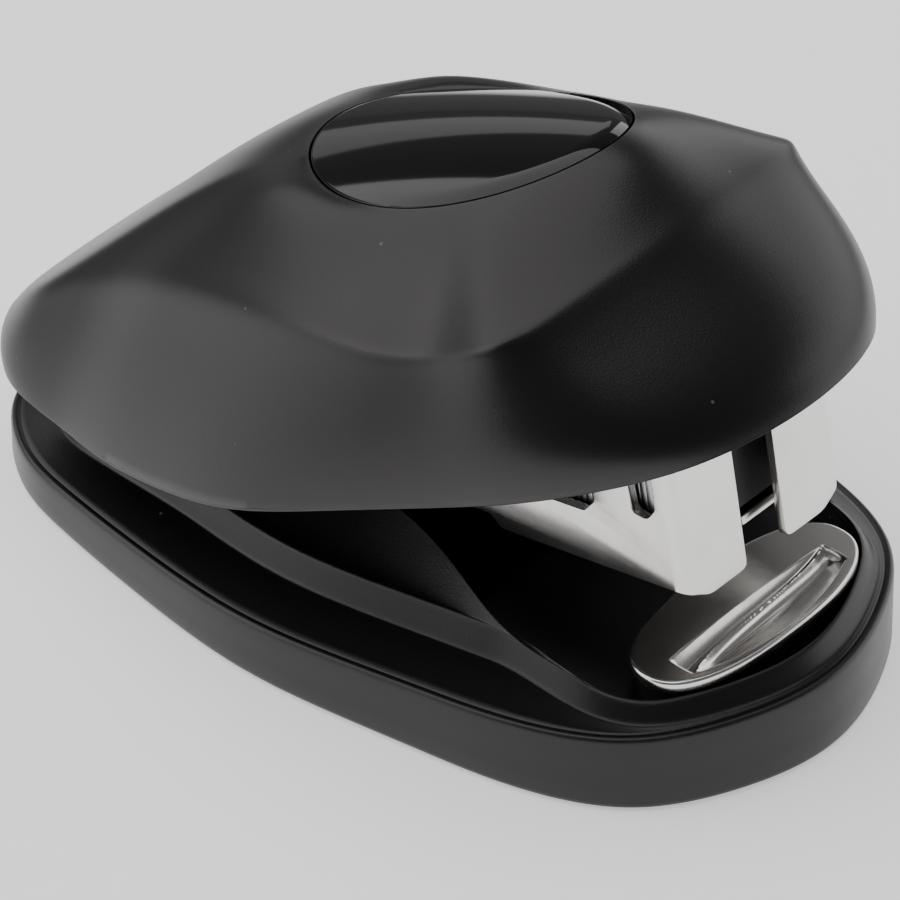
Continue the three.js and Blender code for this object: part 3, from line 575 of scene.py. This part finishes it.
base_mesh = skinned("base_moulding", rings, 50)


def superellipse(a, b, cx, cy_, count=160, power=2.35):
    def shaped(v):
        return np.sign(v) * np.abs(v) ** (2 / power)

    t = np.linspace(0, 2 * math.pi, count, endpoint=False)
    return np.stack([cx + a * shaped(np.cos(t)), cy_ + b * shaped(np.sin(t)), 0 * t], 1)


def slab(name, outline, z_levels, sharp=35):
    """Flat body over an outline: z_levels are (inset, z) pairs, and both ends close over the middle."""
    centre = outline.mean(0)
    rings_ = [inset(outline, shrink, z) for shrink, z in z_levels]
    first, last = rings_[0], rings_[-1]
    low = np.tile([centre[0], centre[1], first[0, 2]], (len(outline), 1))
    high = np.tile([centre[0], centre[1], last[0, 2]], (len(outline), 1))
    return skinned(name, [low, *rings_, high], sharp)


ANVIL_A, ANVIL_B = 9.3, 3.85
PAD_TOP = ANVIL_TOP - 0.95
pad_outline = superellipse(ANVIL_A * 0.965, ANVIL_B * 0.93, 0, ANVIL_Y)
pad = slab("pad", pad_outline, [
    (0, 4.8), (-0.05, WELL_FLOOR), (0, PAD_TOP - 0.15), (0.05, PAD_TOP - 0.05), (0.15, PAD_TOP)])
finish_piece("base_moulding", joined("base_moulding", [base_mesh, pad], 50), "satin_black_plastic",
             "base", "base_shell")

# ---- cover moulding ----------------------------------------------------------------------------------
# from the mouth to the hinge end: lower edge, the crease above it, and how softly the crease turns
stations = [
    [[0, -28.3, 25.4], [0, -18.7, 33.8], 0.035],
    [[5.4, -27.5, 25.1], [6.2, -17.9, 33.1], 0.025],
    [[10.0, -24.7, 23.9], [11.2, -16.7, 32.1], 0.02],
    [[13.5, -19.8, 21.9], [13.6, -14.9, 30.7], 0.018],
    [[15.6, -13.4, 19.2], [14.2, -11.0, 28.4], 0.02],
    [[17.2, -6.2, 16.2], [14.8, -6.0, 26.7], 0.028],
    [[18.4, 1.2, 13.1], [14.4, 1.0, 25.2], 0.038],
    [[17.8, 8.6, 10.6], [13.0, 8.8, 22.8], 0.048],
    [[16.6, 14.4, 9.1], [11.9, 14.0, 20.6], 0.055],
    [[15.0, 20.0, 8.2], [10.9, 19.8, 17.3], 0.06],
    [[13.4, 25.3, 8.0], [10.7, 24.6, 14.2], 0.065],
    [[8.9, 29.2, 8.0], [7.6, 27.4, 11.9], 0.07],
    [[0, 30.25, 8.0], [0, 28.3, 11.2], 0.07],
]
scale = np.array([KX, KY, 1])
low_loop = loop_of([np.array(s[0]) * scale for s in stations])
crease_loop = loop_of([np.array(s[1]) * scale for s in stations])
soft_loop = np.abs(loop_of([[s[2], 0, 0] for s in stations]))
cover_knots = knots_of(low_loop, crease_loop)
AROUND_COVER = 512
low_edge = closed_curve(low_loop, cover_knots, AROUND_COVER)
crease = closed_curve(crease_loop, cover_knots, AROUND_COVER)
softness = closed_curve(soft_loop, cover_knots, AROUND_COVER)[:, :1]
INLAY_Y, INLAY_A, INLAY_B = -1.5, 7.8, 11.1


def crown(x, y_):
    """Height of the roof where the oval inlay sits."""
    d = y_ - INLAY_Y
    return 33.2 - 0.384 * d - 0.033 * x * x - 0.005 * d * d


def oval(k, drop):
    """Ring on the roof, k times the size of the inlay, its points in line with those of the crease."""
    t = np.arctan2(crease[:, 0] / INLAY_A, (crease[:, 1] - INLAY_Y) / INLAY_B)
    x = k * INLAY_A * np.sin(t)
    y_ = INLAY_Y + k * INLAY_B * np.cos(t)
    return np.stack([x, y_, crown(x, y_) - drop], 1)


def cover_skin(width):
    """Outer surface of the cover from just above the lower edge to the rim of the oval."""
    top = oval(1.0, 0.0)
    out = plan_normal(low_edge)
    # the rounding cuts the corner, so the corner is moved out until the surface meets the crease
    corner = crease + 0.69 * width * ((crease - low_edge) - (top - crease))
    front = 1 - smooth(-26 * KY, -8 * KY, low_edge[:, 1:2])
    dome = 0.35 + 0.9 * smooth(-2 * KY, 14 * KY, crease[:, 1])
    levels = np.concatenate([
        np.linspace(0.03, 0.86, 16), np.linspace(0.88, 1.12, 26), np.linspace(1.15, 2.0, 20)])
    sheet = []
    for t in levels:
        g = width * np.log1p(np.exp((t - 1) / width))
        f = t - g
        s = np.clip(f, 0, 1)
        swell = (0.5 + 0.6 * front) * 6.75 * s * (1 - s) ** 2
        ring = low_edge + (corner - low_edge) * f + (top - corner) * g
        ring = ring + (out + [0, 0, 0.3]) * swell
        roof = np.clip(g, 0, 1)
        ring[:, 2:3] += dome[:, None] * 6.75 * roof**2 * (1 - roof)
        sheet.append(ring)
    return np.array(sheet)


def sheet_normals(sheet):
    du = np.roll(sheet, -1, 1) - np.roll(sheet, 1, 1)
    dv = np.gradient(sheet, axis=0)
    n = np.cross(du, dv)
    return n / np.linalg.norm(n, axis=2)[:, :, None]


THICK = 1.8
outer = cover_skin(softness)
inner_base = cover_skin(np.maximum(softness, 0.09))
inner = inner_base - sheet_normals(inner_base) * THICK
out_dir = plan_normal(low_edge)
rise = (crease - low_edge) / np.linalg.norm(crease - low_edge, axis=1)[:, None]
R = 0.32
lip = []
for a in np.linspace(0, math.pi / 2, 5):
    lip.append(low_edge - out_dir * R + rise * R + R * (out_dir * math.cos(a) - rise * math.sin(a)))
for a in np.linspace(math.pi / 2, 0, 5):
    lip.append(low_edge - out_dir * (THICK - R) + rise * R - R * (out_dir * math.cos(a) + rise * math.sin(a)))
pocket = [oval(k, d) for k, d in
          ((0.0, 1.1), (0.5, 1.1), (0.97, 1.1), (0.993, 1.0), (0.994, 0.3), (0.995, 0.1), (0.9975, 0.03))]
under = [oval(k, THICK + 0.5) for k in (0.8, 0.4, 0.0)]
cover_rings = pocket + list(outer[::-1]) + lip + list(inner[1:-1]) + [oval(0.98, THICK + 0.3)] + under
cover_mesh = skinned("cover_moulding", cover_rings, 50)


def box_points(low, high):
    corners = [(low[0], high[0]), (low[1], high[1]), (low[2], high[2])]
    return np.array([[x, y_, z] for x in corners[0] for y_ in corners[1] for z in corners[2]])


BOX_FACES = [(0, 1, 3, 2), (4, 6, 7, 5), (0, 4, 5, 1), (2, 3, 7, 6), (0, 2, 6, 4), (1, 5, 7, 3)]


def carved(mesh, *cutters):
    """The mesh with boxes, given by their eight points, taken away."""
    holder = add_object("holder", mesh)
    tools = [add_object("tool", clean(raw_mesh("tool", points, BOX_FACES))) for points in cutters]
    for tool in tools:
        cut = holder.modifiers.new("cut", "BOOLEAN")
        cut.operation = "DIFFERENCE"
        cut.solver = "MANIFOLD"
        cut.object = tool
    bpy.context.view_layer.update()
    out = bpy.data.meshes.new_from_object(holder.evaluated_get(bpy.context.evaluated_depsgraph_get()))
    for obj in [holder, *tools]:
        bpy.data.objects.remove(obj)
    return clean(out, 50)


# room for the bracket's ears, for the swing back, and for the magazine when the cover is pressed
PRESS = math.asin(8.14 / MAG_REACH)
EAR_OUT = box_mm("base_bracket")[1][0]
cover_mesh = carved(
    cover_mesh,
    box_points((-EAR_OUT - 0.3, PIN_Y - 9, -1), (EAR_OUT + 0.3, PIN_Y + 2.5, PIN_Z + 2.5)),
    box_points((-EAR_OUT - 0.5, PIN_Y + 2, -1), (EAR_OUT + 0.5, 40, 10.2)),
    magazine_to_row(box_points((-MAG_HALF - 0.35, -MAG_REACH - 0.5, -8), (MAG_HALF + 0.35, -3, 3.75)), PRESS))
inside = BVHTree.FromPolygons([v.co for v in cover_mesh.vertices], [p.vertices for p in cover_mesh.polygons])


def roof_above(x, y_, z):
    """Height above a point that lies within the thickness of the cover."""
    place, normal, _, _ = inside.ray_cast(Vector((x, y_, z)) * MM, Vector((0, 0, 1)))
    if place is None:
        return z
    return place.z / MM + (0.4 if normal.z < 0 else -0.9)


def cover_rib(side):
    """Web that hangs from the roof and carries the hinge pin."""
    x0, x1 = side * 8.8, side * 10.3
    line = []
    for y_ in np.linspace(PIN_Y - 8, PIN_Y + 2.2, 23):
        rel = y_ - PIN_Y
        if rel > -3.2:
            bottom = PIN_Z - 2.6 + 0.12 * max(0, abs(rel) - 1) ** 2
        else:
            bottom = PIN_Z - 2.0 + 0.95 * (-rel - 3.2)
        line.append((y_, bottom))
    section = []
    for x in (x0, x1):
        roof = [[x, y_, max(bottom + 0.1, roof_above(x, y_, max(bottom, PIN_Z)))]
                for y_, bottom in line[::-1]]
        section.append(np.array([[x, y_, bottom] for y_, bottom in line] + roof))
    count = len(section[0])
    n = len(line)
    faces = ring_faces(2, count)
    for shift in (0, count):
        end = shift + count - 1
        faces += [(shift + i, shift + i + 1, end - 1 - i, end - i) for i in range(n - 1)]
    return clean(raw_mesh("rib", np.vstack(section), faces), 35)


# two stakes carry the driver arm, which lies just above the staples
CHANNEL_FLOOR = -4.6
SHEET = 0.7
STAPLE_HEIGHT = 6.0
strip_top = CHANNEL_FLOOR + SHEET + 0.2 + STAPLE_HEIGHT
arm_level = strip_top + 0.4
stakes = []
for y_ in (-12 * KY, 4 * KY):
    foot, mid = magazine_to_row([[0, y_ - PIN_Y, arm_level + 0.1], [0, y_ - PIN_Y, arm_level + 0.9]], PRESS)
    direction = (mid - foot) / np.linalg.norm(mid - foot)
    top = roof_above(mid[0], mid[1], mid[2] + 0.5)
    stakes.append(rod(1.0, foot, mid + direction * 0.2, 28, 0.15))
    stakes.append(rod(2.2, mid, mid + direction * (top - mid[2] + 0.6), 32))
ribs = [cover_rib(1), cover_rib(-1)]
finish_piece("cover_moulding", joined("cover_moulding", [cover_mesh, *stakes, *ribs], 50),
             "satin_black_plastic", "cover", "top_cover")

# ---- oval inlay --------------------------------------------------------------------------------------
def inlay_top(k):
    """Polished face: follows the roof and rolls over towards the mouth."""
    ring = oval(k, 0.0)
    front_ = smooth(2.0, -9.0, ring[:, 1] - INLAY_Y)
    ring[:, 2] -= 0.45 * front_ * np.clip((k - 0.84) / 0.13, 0, 1) ** 1.7
    return ring


inlay_rings = [oval(k, 1.0) for k in (0.0, 0.5, 0.95)] + [oval(0.982, 0.9), oval(0.984, 0.2)]
inlay_rings += [oval(0.983, 0.08), oval(0.980, 0.03), inlay_top(0.974), inlay_top(0.965)]
inlay_rings += [inlay_top(k) for k in np.linspace(0.955, 0.0, 48)]
finish_piece("inlay_panel", skinned("inlay_panel", inlay_rings, 60), "gloss_black_plastic",
             "cover", "cover_inlay")

# ---- anvil pressing ----------------------------------------------------------------------------------
CRIMP_Y = ANVIL_Y - 1.12
CRIMP_HALF = 7.25


def crimp_depth(x, y_):
    """Two clinching grooves, parted by a ridge that slants from one end to the other."""
    u = np.clip(x / CRIMP_HALF, -1, 1)
    dy = y_ - CRIMP_Y
    ridge_y = 0.4 * u + 0.6 * u**5
    reach = {1: 1.0 + 0.2 * (1 - u * u), -1: 0.95 + 1.4 * (1 - u * u)}
    depth = np.zeros_like(x)
    for side in (1, -1):
        width = np.maximum(reach[side] - side * ridge_y, 0.04)
        v = side * (dy - ridge_y) / width
        bowl = np.where((v > 0) & (v < 1), np.sin(np.pi * np.clip(v, 0, 1) ** (0.8 if side > 0 else 0.62)), 0)
        deep = 0.66 * smooth(0.0, 1.5, width)
        depth = np.maximum(depth, bowl * deep)
    return depth * (1 - smooth(0.965, 1.0, np.abs(x / CRIMP_HALF)))


def anvil_mesh():
    """Pressed plate with its grooves, and the rivet it turns on."""
    n_r, n_a = 90, 360
    t = np.linspace(0, 2 * math.pi, n_a, endpoint=False)
    outline = superellipse(ANVIL_A, ANVIL_B, 0, ANVIL_Y, n_a)
    rings_ = []
    bottom = ANVIL_TOP - 0.9
    for k in (0.0, 0.5):
        across = ANVIL_Y + (outline[:, 1] - ANVIL_Y) * k
        rings_.append(np.stack([outline[:, 0] * k, across, 0 * t + bottom], 1))
    for shrink, z in ((0.15, bottom), (0.05, bottom + 0.05), (0.0, bottom + 0.15), (0.0, ANVIL_TOP - 0.22),
                      (0.04, ANVIL_TOP - 0.1), (0.11, ANVIL_TOP - 0.03), (0.22, ANVIL_TOP)):
        rings_.append(inset(outline, shrink, z))
    edge = rings_[-1]
    for k in np.linspace(0.99, 0.0, n_r):
        ring = np.stack([edge[:, 0] * k, ANVIL_Y + (edge[:, 1] - ANVIL_Y) * k, 0 * t], 1)
        ring[:, 2] = ANVIL_TOP - crimp_depth(ring[:, 0], ring[:, 1])
        rings_.append(ring)
    plate_ = skinned("anvil", rings_, 60)
    rivet = rod(0.95, (0, ANVIL_Y + 1.7, 1.75), (0, ANVIL_Y + 1.7, ANVIL_TOP - 0.8), 28, 0.1)
    return joined("anvil_pressing", [plate_, rivet], 60)


finish_piece("anvil_pressing", anvil_mesh(), "nickel_plated_sheet", "base", "anvil_plate")

# ---- magazine channel --------------------------------------------------------------------------------
BEND = 0.62
FLANGE_IN = 1.82
FACE_Y = -MAG_REACH + SHEET / 2
BEND_AT = MAG_HALF - SHEET / 2 - BEND - FLANGE_IN


def unrolled(y_):
    """Distance along the folded sheet, from the flange's inner edge, of a point y_ on the side plate."""
    return BEND_AT + BEND * math.pi / 2 + (y_ - FACE_Y - BEND)


STEP_Y = -MAG_REACH + 14.8
SIDE_TOP = 3.4
side_outline = fillet([
    (0.0, -6.25, 0.6), (3.5, -6.25, 2.0), (5.3, -5.2, 1.2), (unrolled(STEP_Y), -5.2, 0.5),
    (unrolled(STEP_Y + 0.8), -4.35, 0.3), (unrolled(-3), -4.35, 1.0), (unrolled(1.9), -2.4, 1.2),
    (unrolled(2.3), 0, 1.5), (unrolled(1.4), 1.8, 1.0), (unrolled(-1), 2.4, 1.0),
    (unrolled(-6), SIDE_TOP, 1.5), (0.0, SIDE_TOP, 1.0),
])
slot_y = -MAG_REACH
side_holes = [
    fillet([(unrolled(slot_y + 1.7), 2.6, 0.3), (unrolled(slot_y + 1.7), 0.3, 0.6),
            (unrolled(slot_y + 2.4), -0.55, 0.7), (unrolled(slot_y + 3.5), -0.35, 0.5),
            (unrolled(slot_y + 3.7), 2.6, 0.3)]),
    fillet([(unrolled(slot_y + 6.6), 2.2, 0.3), (unrolled(slot_y + 6.6), -0.6, 0.6),
            (unrolled(slot_y + 7.5), -1.5, 0.6), (unrolled(slot_y + 13.4), -1.5, 0.6),
            (unrolled(slot_y + 13.4), 2.2, 0.6)]),
    circle(unrolled(0), 0, 1.55),
]
bend_cuts = list(np.linspace(BEND_AT, BEND_AT + BEND * math.pi / 2, 9))


def folded_side(side):
    """Side plate and its front flange, cut flat and then bent round the front corner."""
    points, faces = plate([side_outline, *side_holes], SHEET, 0.1, bend_cuts)
    s, z, n = points[:, 0], points[:, 1], points[:, 2]
    turn = np.clip((s - BEND_AT) / BEND, 0, math.pi / 2)
    over = np.maximum(s - BEND_AT - BEND * math.pi / 2, 0)
    x = FLANGE_IN + np.minimum(s, BEND_AT) + BEND * np.sin(turn) + n * np.sin(turn)
    y_ = FACE_Y + BEND * (1 - np.cos(turn)) + over - n * np.cos(turn)
    row = magazine_to_row(np.stack([side * x, y_, z], 1))
    return clean(raw_mesh("side", row, faces), 35)


def level_plate(outline, holes, z, thickness, edge=0.1):
    """Sheet lying in the level magazine frame, its middle at height z."""
    points, faces = plate([outline, *holes], thickness, edge)
    points[:, 2] += z
    return clean(raw_mesh("plate", magazine_to_row(points), faces), 35)


half_in = MAG_HALF - 0.12
rail_front = -MAG_REACH + 1.5 + 0.55
floor_main = level_plate(
    fillet([(-half_in, STEP_Y - 0.7, 0.2), (half_in, STEP_Y - 0.7, 0.2), (half_in, -3, 0.6),
            (-half_in, -3, 0.6)]),
    [fillet([(-2, y_ - 2.2, 0.5), (2, y_ - 2.2, 0.5), (2, y_ + 2.2, 0.5), (-2, y_ + 2.2, 0.5)])
     for y_ in (10.9 - MAG_REACH + 3.9, 19.9 - MAG_REACH + 0.5, 28.9 - MAG_REACH)],
    CHANNEL_FLOOR + SHEET / 2, SHEET, 0.3)
inner_half = MAG_HALF - SHEET - 0.02
floor_front = level_plate(
    fillet([(-inner_half, STEP_Y - 0.5, 0.1), (-inner_half, rail_front, 0.3), (-0.35, rail_front, 0.1),
            (-0.35, rail_front + 1.2, 0.1), (0.35, rail_front + 1.2, 0.1), (0.35, rail_front, 0.1),
            (inner_half, rail_front, 0.3), (inner_half, STEP_Y - 0.5, 0.1)]),
    [], -5.2 + SHEET / 2, SHEET, 0.1)
channel_parts = [folded_side(1), folded_side(-1), floor_main, floor_front]
finish_piece("magazine_channel", joined("magazine_channel", channel_parts, 35),
             "nickel_plated_sheet", "magazine", "magazine_body")


# ---- staples and springs, laid out with geometry nodes -----------------------------------------------
def node_group(name, inputs):
    tree = bpy.data.node_groups.new(name, "GeometryNodeTree")
    tree.interface.new_socket("Geometry", in_out="INPUT", socket_type="NodeSocketGeometry")
    for label, kind, default in inputs:
        socket = tree.interface.new_socket(label, in_out="INPUT", socket_type=kind)
        if default is not None:
            socket.default_value = default
    tree.interface.new_socket("Geometry", in_out="OUTPUT", socket_type="NodeSocketGeometry")
    graph = Graph(tree)
    return graph, graph.add("NodeGroupInput").outputs


def finish_nodes(graph, geometry, material):
    solid = graph.add("GeometryNodeRealizeInstances", Geometry=geometry).outputs[0]
    shown = graph.add("GeometryNodeSetMaterial", Geometry=solid, Material=material).outputs[0]
    graph.add("NodeGroupOutput", Geometry=shown)
    return graph.tree


def staple_row_nodes():
    """A row of equal wires: one shape repeated at an even pitch."""
    g, i = node_group("staple_row", [
        ("Count", "NodeSocketInt", 50), ("Pitch", FLOAT, 0.0005), ("Wire", "NodeSocketObject", None),
        ("Material", "NodeSocketMaterial", None)])
    step = g.add("ShaderNodeCombineXYZ", Y=i["Pitch"]).outputs[0]
    line = g.add("GeometryNodeMeshLine", {"mode": "OFFSET"}, Count=i["Count"], Offset=step).outputs[0]
    shape = g.add("GeometryNodeObjectInfo", Object=i["Wire"]).outputs["Geometry"]
    row = g.add("GeometryNodeInstanceOnPoints", Points=line, Instance=shape).outputs[0]
    return finish_nodes(g, row, i["Material"])


def wire_path_nodes():
    """Round wire that follows the edges of the input."""
    g, i = node_group("wire_along_path", [("Radius", FLOAT, 0.0003), ("Sides", "NodeSocketInt", 10),
                                          ("Material", "NodeSocketMaterial", None)])
    path = g.add("GeometryNodeMeshToCurve", Mesh=i["Geometry"]).outputs[0]
    ring = g.add("GeometryNodeCurvePrimitiveCircle", Radius=i["Radius"], Resolution=i["Sides"]).outputs[0]
    tube = g.add("GeometryNodeCurveToMesh", {}, Curve=path).outputs[0]
    tube.node.inputs["Fill Caps"].default_value = True
    g.tree.links.new(ring, tube.node.inputs["Profile Curve"])
    return finish_nodes(g, tube, i["Material"])


def baked(mesh, tree, **values):
    """The plain mesh that a node group makes from a mesh."""
    holder = add_object("holder", mesh)
    modifier = holder.modifiers.new("nodes", "NODES")
    modifier.node_group = tree
    names = {s.name: s.identifier for s in tree.interface.items_tree if s.in_out == "INPUT"}
    for label, value in values.items():
        modifier[names[label]] = value
    bpy.context.view_layer.update()
    out = bpy.data.meshes.new_from_object(holder.evaluated_get(bpy.context.evaluated_depsgraph_get()))
    bpy.data.objects.remove(holder)
    return out


strip_low, strip_high = box_mm("staple_strip")
crown_half = strip_high[0]
WIRE = 0.5
strip_foot = strip_top - STAPLE_HEIGHT
wire_corners = [
    (-crown_half, strip_foot, 0), (-crown_half, strip_top, 0.45), (crown_half, strip_top, 0.45),
    (crown_half, strip_foot, 0), (crown_half - WIRE, strip_foot, 0),
    (crown_half - WIRE, strip_top - WIRE, 0.15), (-crown_half + WIRE, strip_top - WIRE, 0.15),
    (-crown_half + WIRE, strip_foot, 0),
]
flat, wire_faces = plate([fillet(wire_corners, 4)], WIRE - 0.03, 0.09)
upright = np.stack([flat[:, 0], flat[:, 2], flat[:, 1]], 1)
wire_shape = add_object("wire_shape", clean(raw_mesh("wire_shape", upright, wire_faces), 40))
strip_front = -MAG_REACH + 1.5 + 0.25 + 0.3
strip_run = (strip_high[1] - strip_low[1] - STAPLE_HEIGHT * math.sin(TILT)) / math.cos(TILT)
count = int(round(strip_run / WIRE))
row = baked(bpy.data.meshes.new("row"), staple_row_nodes(), Count=min(count, 50), Pitch=WIRE * MM,
            Wire=wire_shape, Material=MATERIALS["staple_wire"])
bpy.data.objects.remove(wire_shape)
row.transform(Matrix.Translation((0, PIN_Y * MM, PIN_Z * MM)) @ Matrix.Rotation(-TILT, 4, "X")
              @ Matrix.Translation((0, (strip_front + WIRE / 2) * MM, 0)))
row.set_sharp_from_angle(angle=math.radians(40))
finish_piece("staples", row, "staple_wire", "magazine", "staple_strip")

wire_nodes = wire_path_nodes()


def wire_piece(name, points, radius, body, *nodes):
    verts = magazine_to_row(points)
    path = bpy.data.meshes.new(name + "_path")
    path.from_pydata([tuple(v * MM) for v in verts], [(i, i + 1) for i in range(len(verts) - 1)], [])
    mesh = baked(path, wire_nodes, Radius=radius * MM, Sides=12, Material=MATERIALS["spring_steel"])
    clean(mesh, 50)
    finish_piece(name, mesh, "spring_steel", body, *nodes)


COIL_TURNS, COIL_R, COIL_Z = 9, 1.5, -1.5
push_back = strip_front + 25 + 0.3 + 5
spring_end = -8 - SHEET - 0.1
t = np.linspace(0, COIL_TURNS * 2 * math.pi, COIL_TURNS * 36)
coil_y = push_back + 0.35 + (spring_end - push_back - 0.6) * t / t[-1]
wire_piece("pusher_coil", np.stack([COIL_R * np.cos(t), coil_y, COIL_Z + COIL_R * np.sin(t)], 1),
           0.2, "magazine", "pusher_spring")

TURNS = 5.5
t = np.linspace(-math.pi / 2, -math.pi / 2 + TURNS * 2 * math.pi, int(TURNS * 40))
coil = np.stack([-2.8 + 5.6 * (t - t[0]) / (t[-1] - t[0]), 2.05 * np.cos(t), 2.05 * np.sin(t)], 1)
leg_in = np.array([
    [-2.8, -6.4, -3.4], [-2.8, -4.6, -3.15], [-2.8, -3.2, -2.85], [-2.8, -1.6, -2.4], [-2.8, -0.6, -2.15]])
leg_out = np.array([
    [2.84, -0.9, 2.05], [2.88, -2.2, 2.1], [2.9, -5.0, 2.2], [2.9, -7.0, 2.3], [2.9, -9.0, 2.4]])
wire_piece("torsion_coil", np.vstack([leg_in, coil[:-1], leg_out]), 0.3, "magazine", "cover_spring")

# ---- pieces kept from the frame, with softened edges ---------------------------------------------------
KEPT = {
    "base_mat": 0.25, "anvil_clip": 0.08, "base_bracket": 0.12, "bracket_screw_1": 0.08,
    "bracket_screw_2": 0.08, "hinge_pin": 0.1, "staple_rail": 0.1, "pusher": 0.15, "spring_rod": 0.08,
    "driver_arm": 0.12, "driver_blade": 0.06, "blade_rivet": 0.12, "lift_spring": 0.06,
}
slots = {s["node"]: s["material_slot"] for s in frame["record"]["subparts"]}
for node, width in KEPT.items():
    obj = frame["nodes"][node]
    obj.data.materials.clear()
    obj.data.materials.append(MATERIALS[slots[node]])
    weld = obj.modifiers.new("weld", "WELD")
    weld.merge_threshold = 1e-6
    bevel = obj.modifiers.new("bevel", "BEVEL")
    bevel.width = width * MM
    bevel.segments = 2
    bevel.limit_method = "ANGLE"
    bevel.angle_limit = math.radians(38)
    bevel.harden_normals = True

# ---- floor, light and camera ---------------------------------------------------------------------------
AZ, EL, DIST = math.radians(-49.20), math.radians(38.02), 0.48089
floor_points = [[-700, -700, 0], [700, -700, 0], [700, 700, 0], [-700, 700, 0]]
floor = add_object("floor", raw_mesh("floor", floor_points, [(0, 1, 2, 3)]))
# floor material: its glowing lane and its grey surround are painted light and painted shade
painted_glow_floor, g, shader = new_material("floor_painted_glow_and_shade")
at = g.add("ShaderNodeTexCoord").outputs["Object"]
fibre = g.add("ShaderNodeTexNoise", Vector=at, Scale=400.0, Detail=3.0).outputs[0]
# a pale lane crosses the floor under the stapler and glows with painted light; in front of it and behind it the
# floor fades to a painted grey, painted shade where the studio light would fall off
along = g.add("ShaderNodeVectorMath", {"operation": "DOT_PRODUCT"})
g.feed(along, 0, at)
g.feed(along, 1, (math.sin(AZ), -math.cos(AZ), 0))
off_lane = g.math("ABSOLUTE", g.math("ADD", along.outputs["Value"], 0.004))
painted_shade_mask = g.ramp(off_lane, 0.07, 0.11)
pale = g.mix(fibre, (0.88, 0.88, 0.88, 1), (0.9, 0.9, 0.9, 1))
# base colour: pale in the lane, painted shade grey outside it
g.feed(shader, "Base Color", g.mix(painted_shade_mask, pale, (0.12, 0.12, 0.12, 1)))
# painted glow: the lane emits light though the floor is no lamp, and the painted grey part does not glow
g.feed(shader, "Emission Color", g.mix(painted_shade_mask, (0.6, 0.6, 0.6, 1), (0, 0, 0, 1)))
shader.inputs["Emission Strength"].default_value = 1.0
shader.inputs["Roughness"].default_value = 0.9
floor.data.materials.append(painted_glow_floor)

world = bpy.data.worlds.new("studio")
world.use_nodes = True
world.node_tree.nodes["Background"].inputs[0].default_value = (1, 1, 1, 1)
world.node_tree.nodes["Background"].inputs[1].default_value = 0.13
scene.world = world


def panel(name, centre, target, width, height, radiance, color=(1, 1, 1)):
    """Softbox of a given brightness, facing a point."""
    data = bpy.data.lights.new(name, "AREA")
    data.shape = "RECTANGLE"
    data.size, data.size_y = width, height
    data.energy = math.pi * width * height * radiance
    data.color = color
    obj = add_object(name, data)
    obj.location = centre
    obj.rotation_euler = (Vector(target) - Vector(centre)).to_track_quat("-Z", "Y").to_euler()
    return obj


panel("top_back", (-0.12, 0.33, 0.73), (0, 0, 0.02), 1.25, 1.68, 1.5)
panel("left", (-0.6, 0.52, 0.22), (0, 0, 0.03), 0.75, 0.42, 1.2)
panel("right", (0.59, -0.12, 0.16), (0, 0, 0.03), 1.1, 0.36, 1.4)
panel("back_right", (0.43, 0.61, 0.115), (0, 0, 0.03), 0.45, 0.12, 0.5)

AIM = Vector((0, -0.0072, 0.014))
back = Vector((math.sin(AZ) * math.cos(EL), -math.cos(AZ) * math.cos(EL), math.sin(EL)))
camera = add_object("camera", bpy.data.cameras.new("camera"))
camera.location = AIM + back * DIST
camera.rotation_euler = (-back).to_track_quat("-Z", "Y").to_euler()
camera.data.sensor_width = 36
camera.data.lens = 316.4
camera.data.shift_x = -0.1028
camera.data.shift_y = -0.0404
camera.data.clip_start = 0.05
camera.data.clip_end = 10
scene.camera = camera
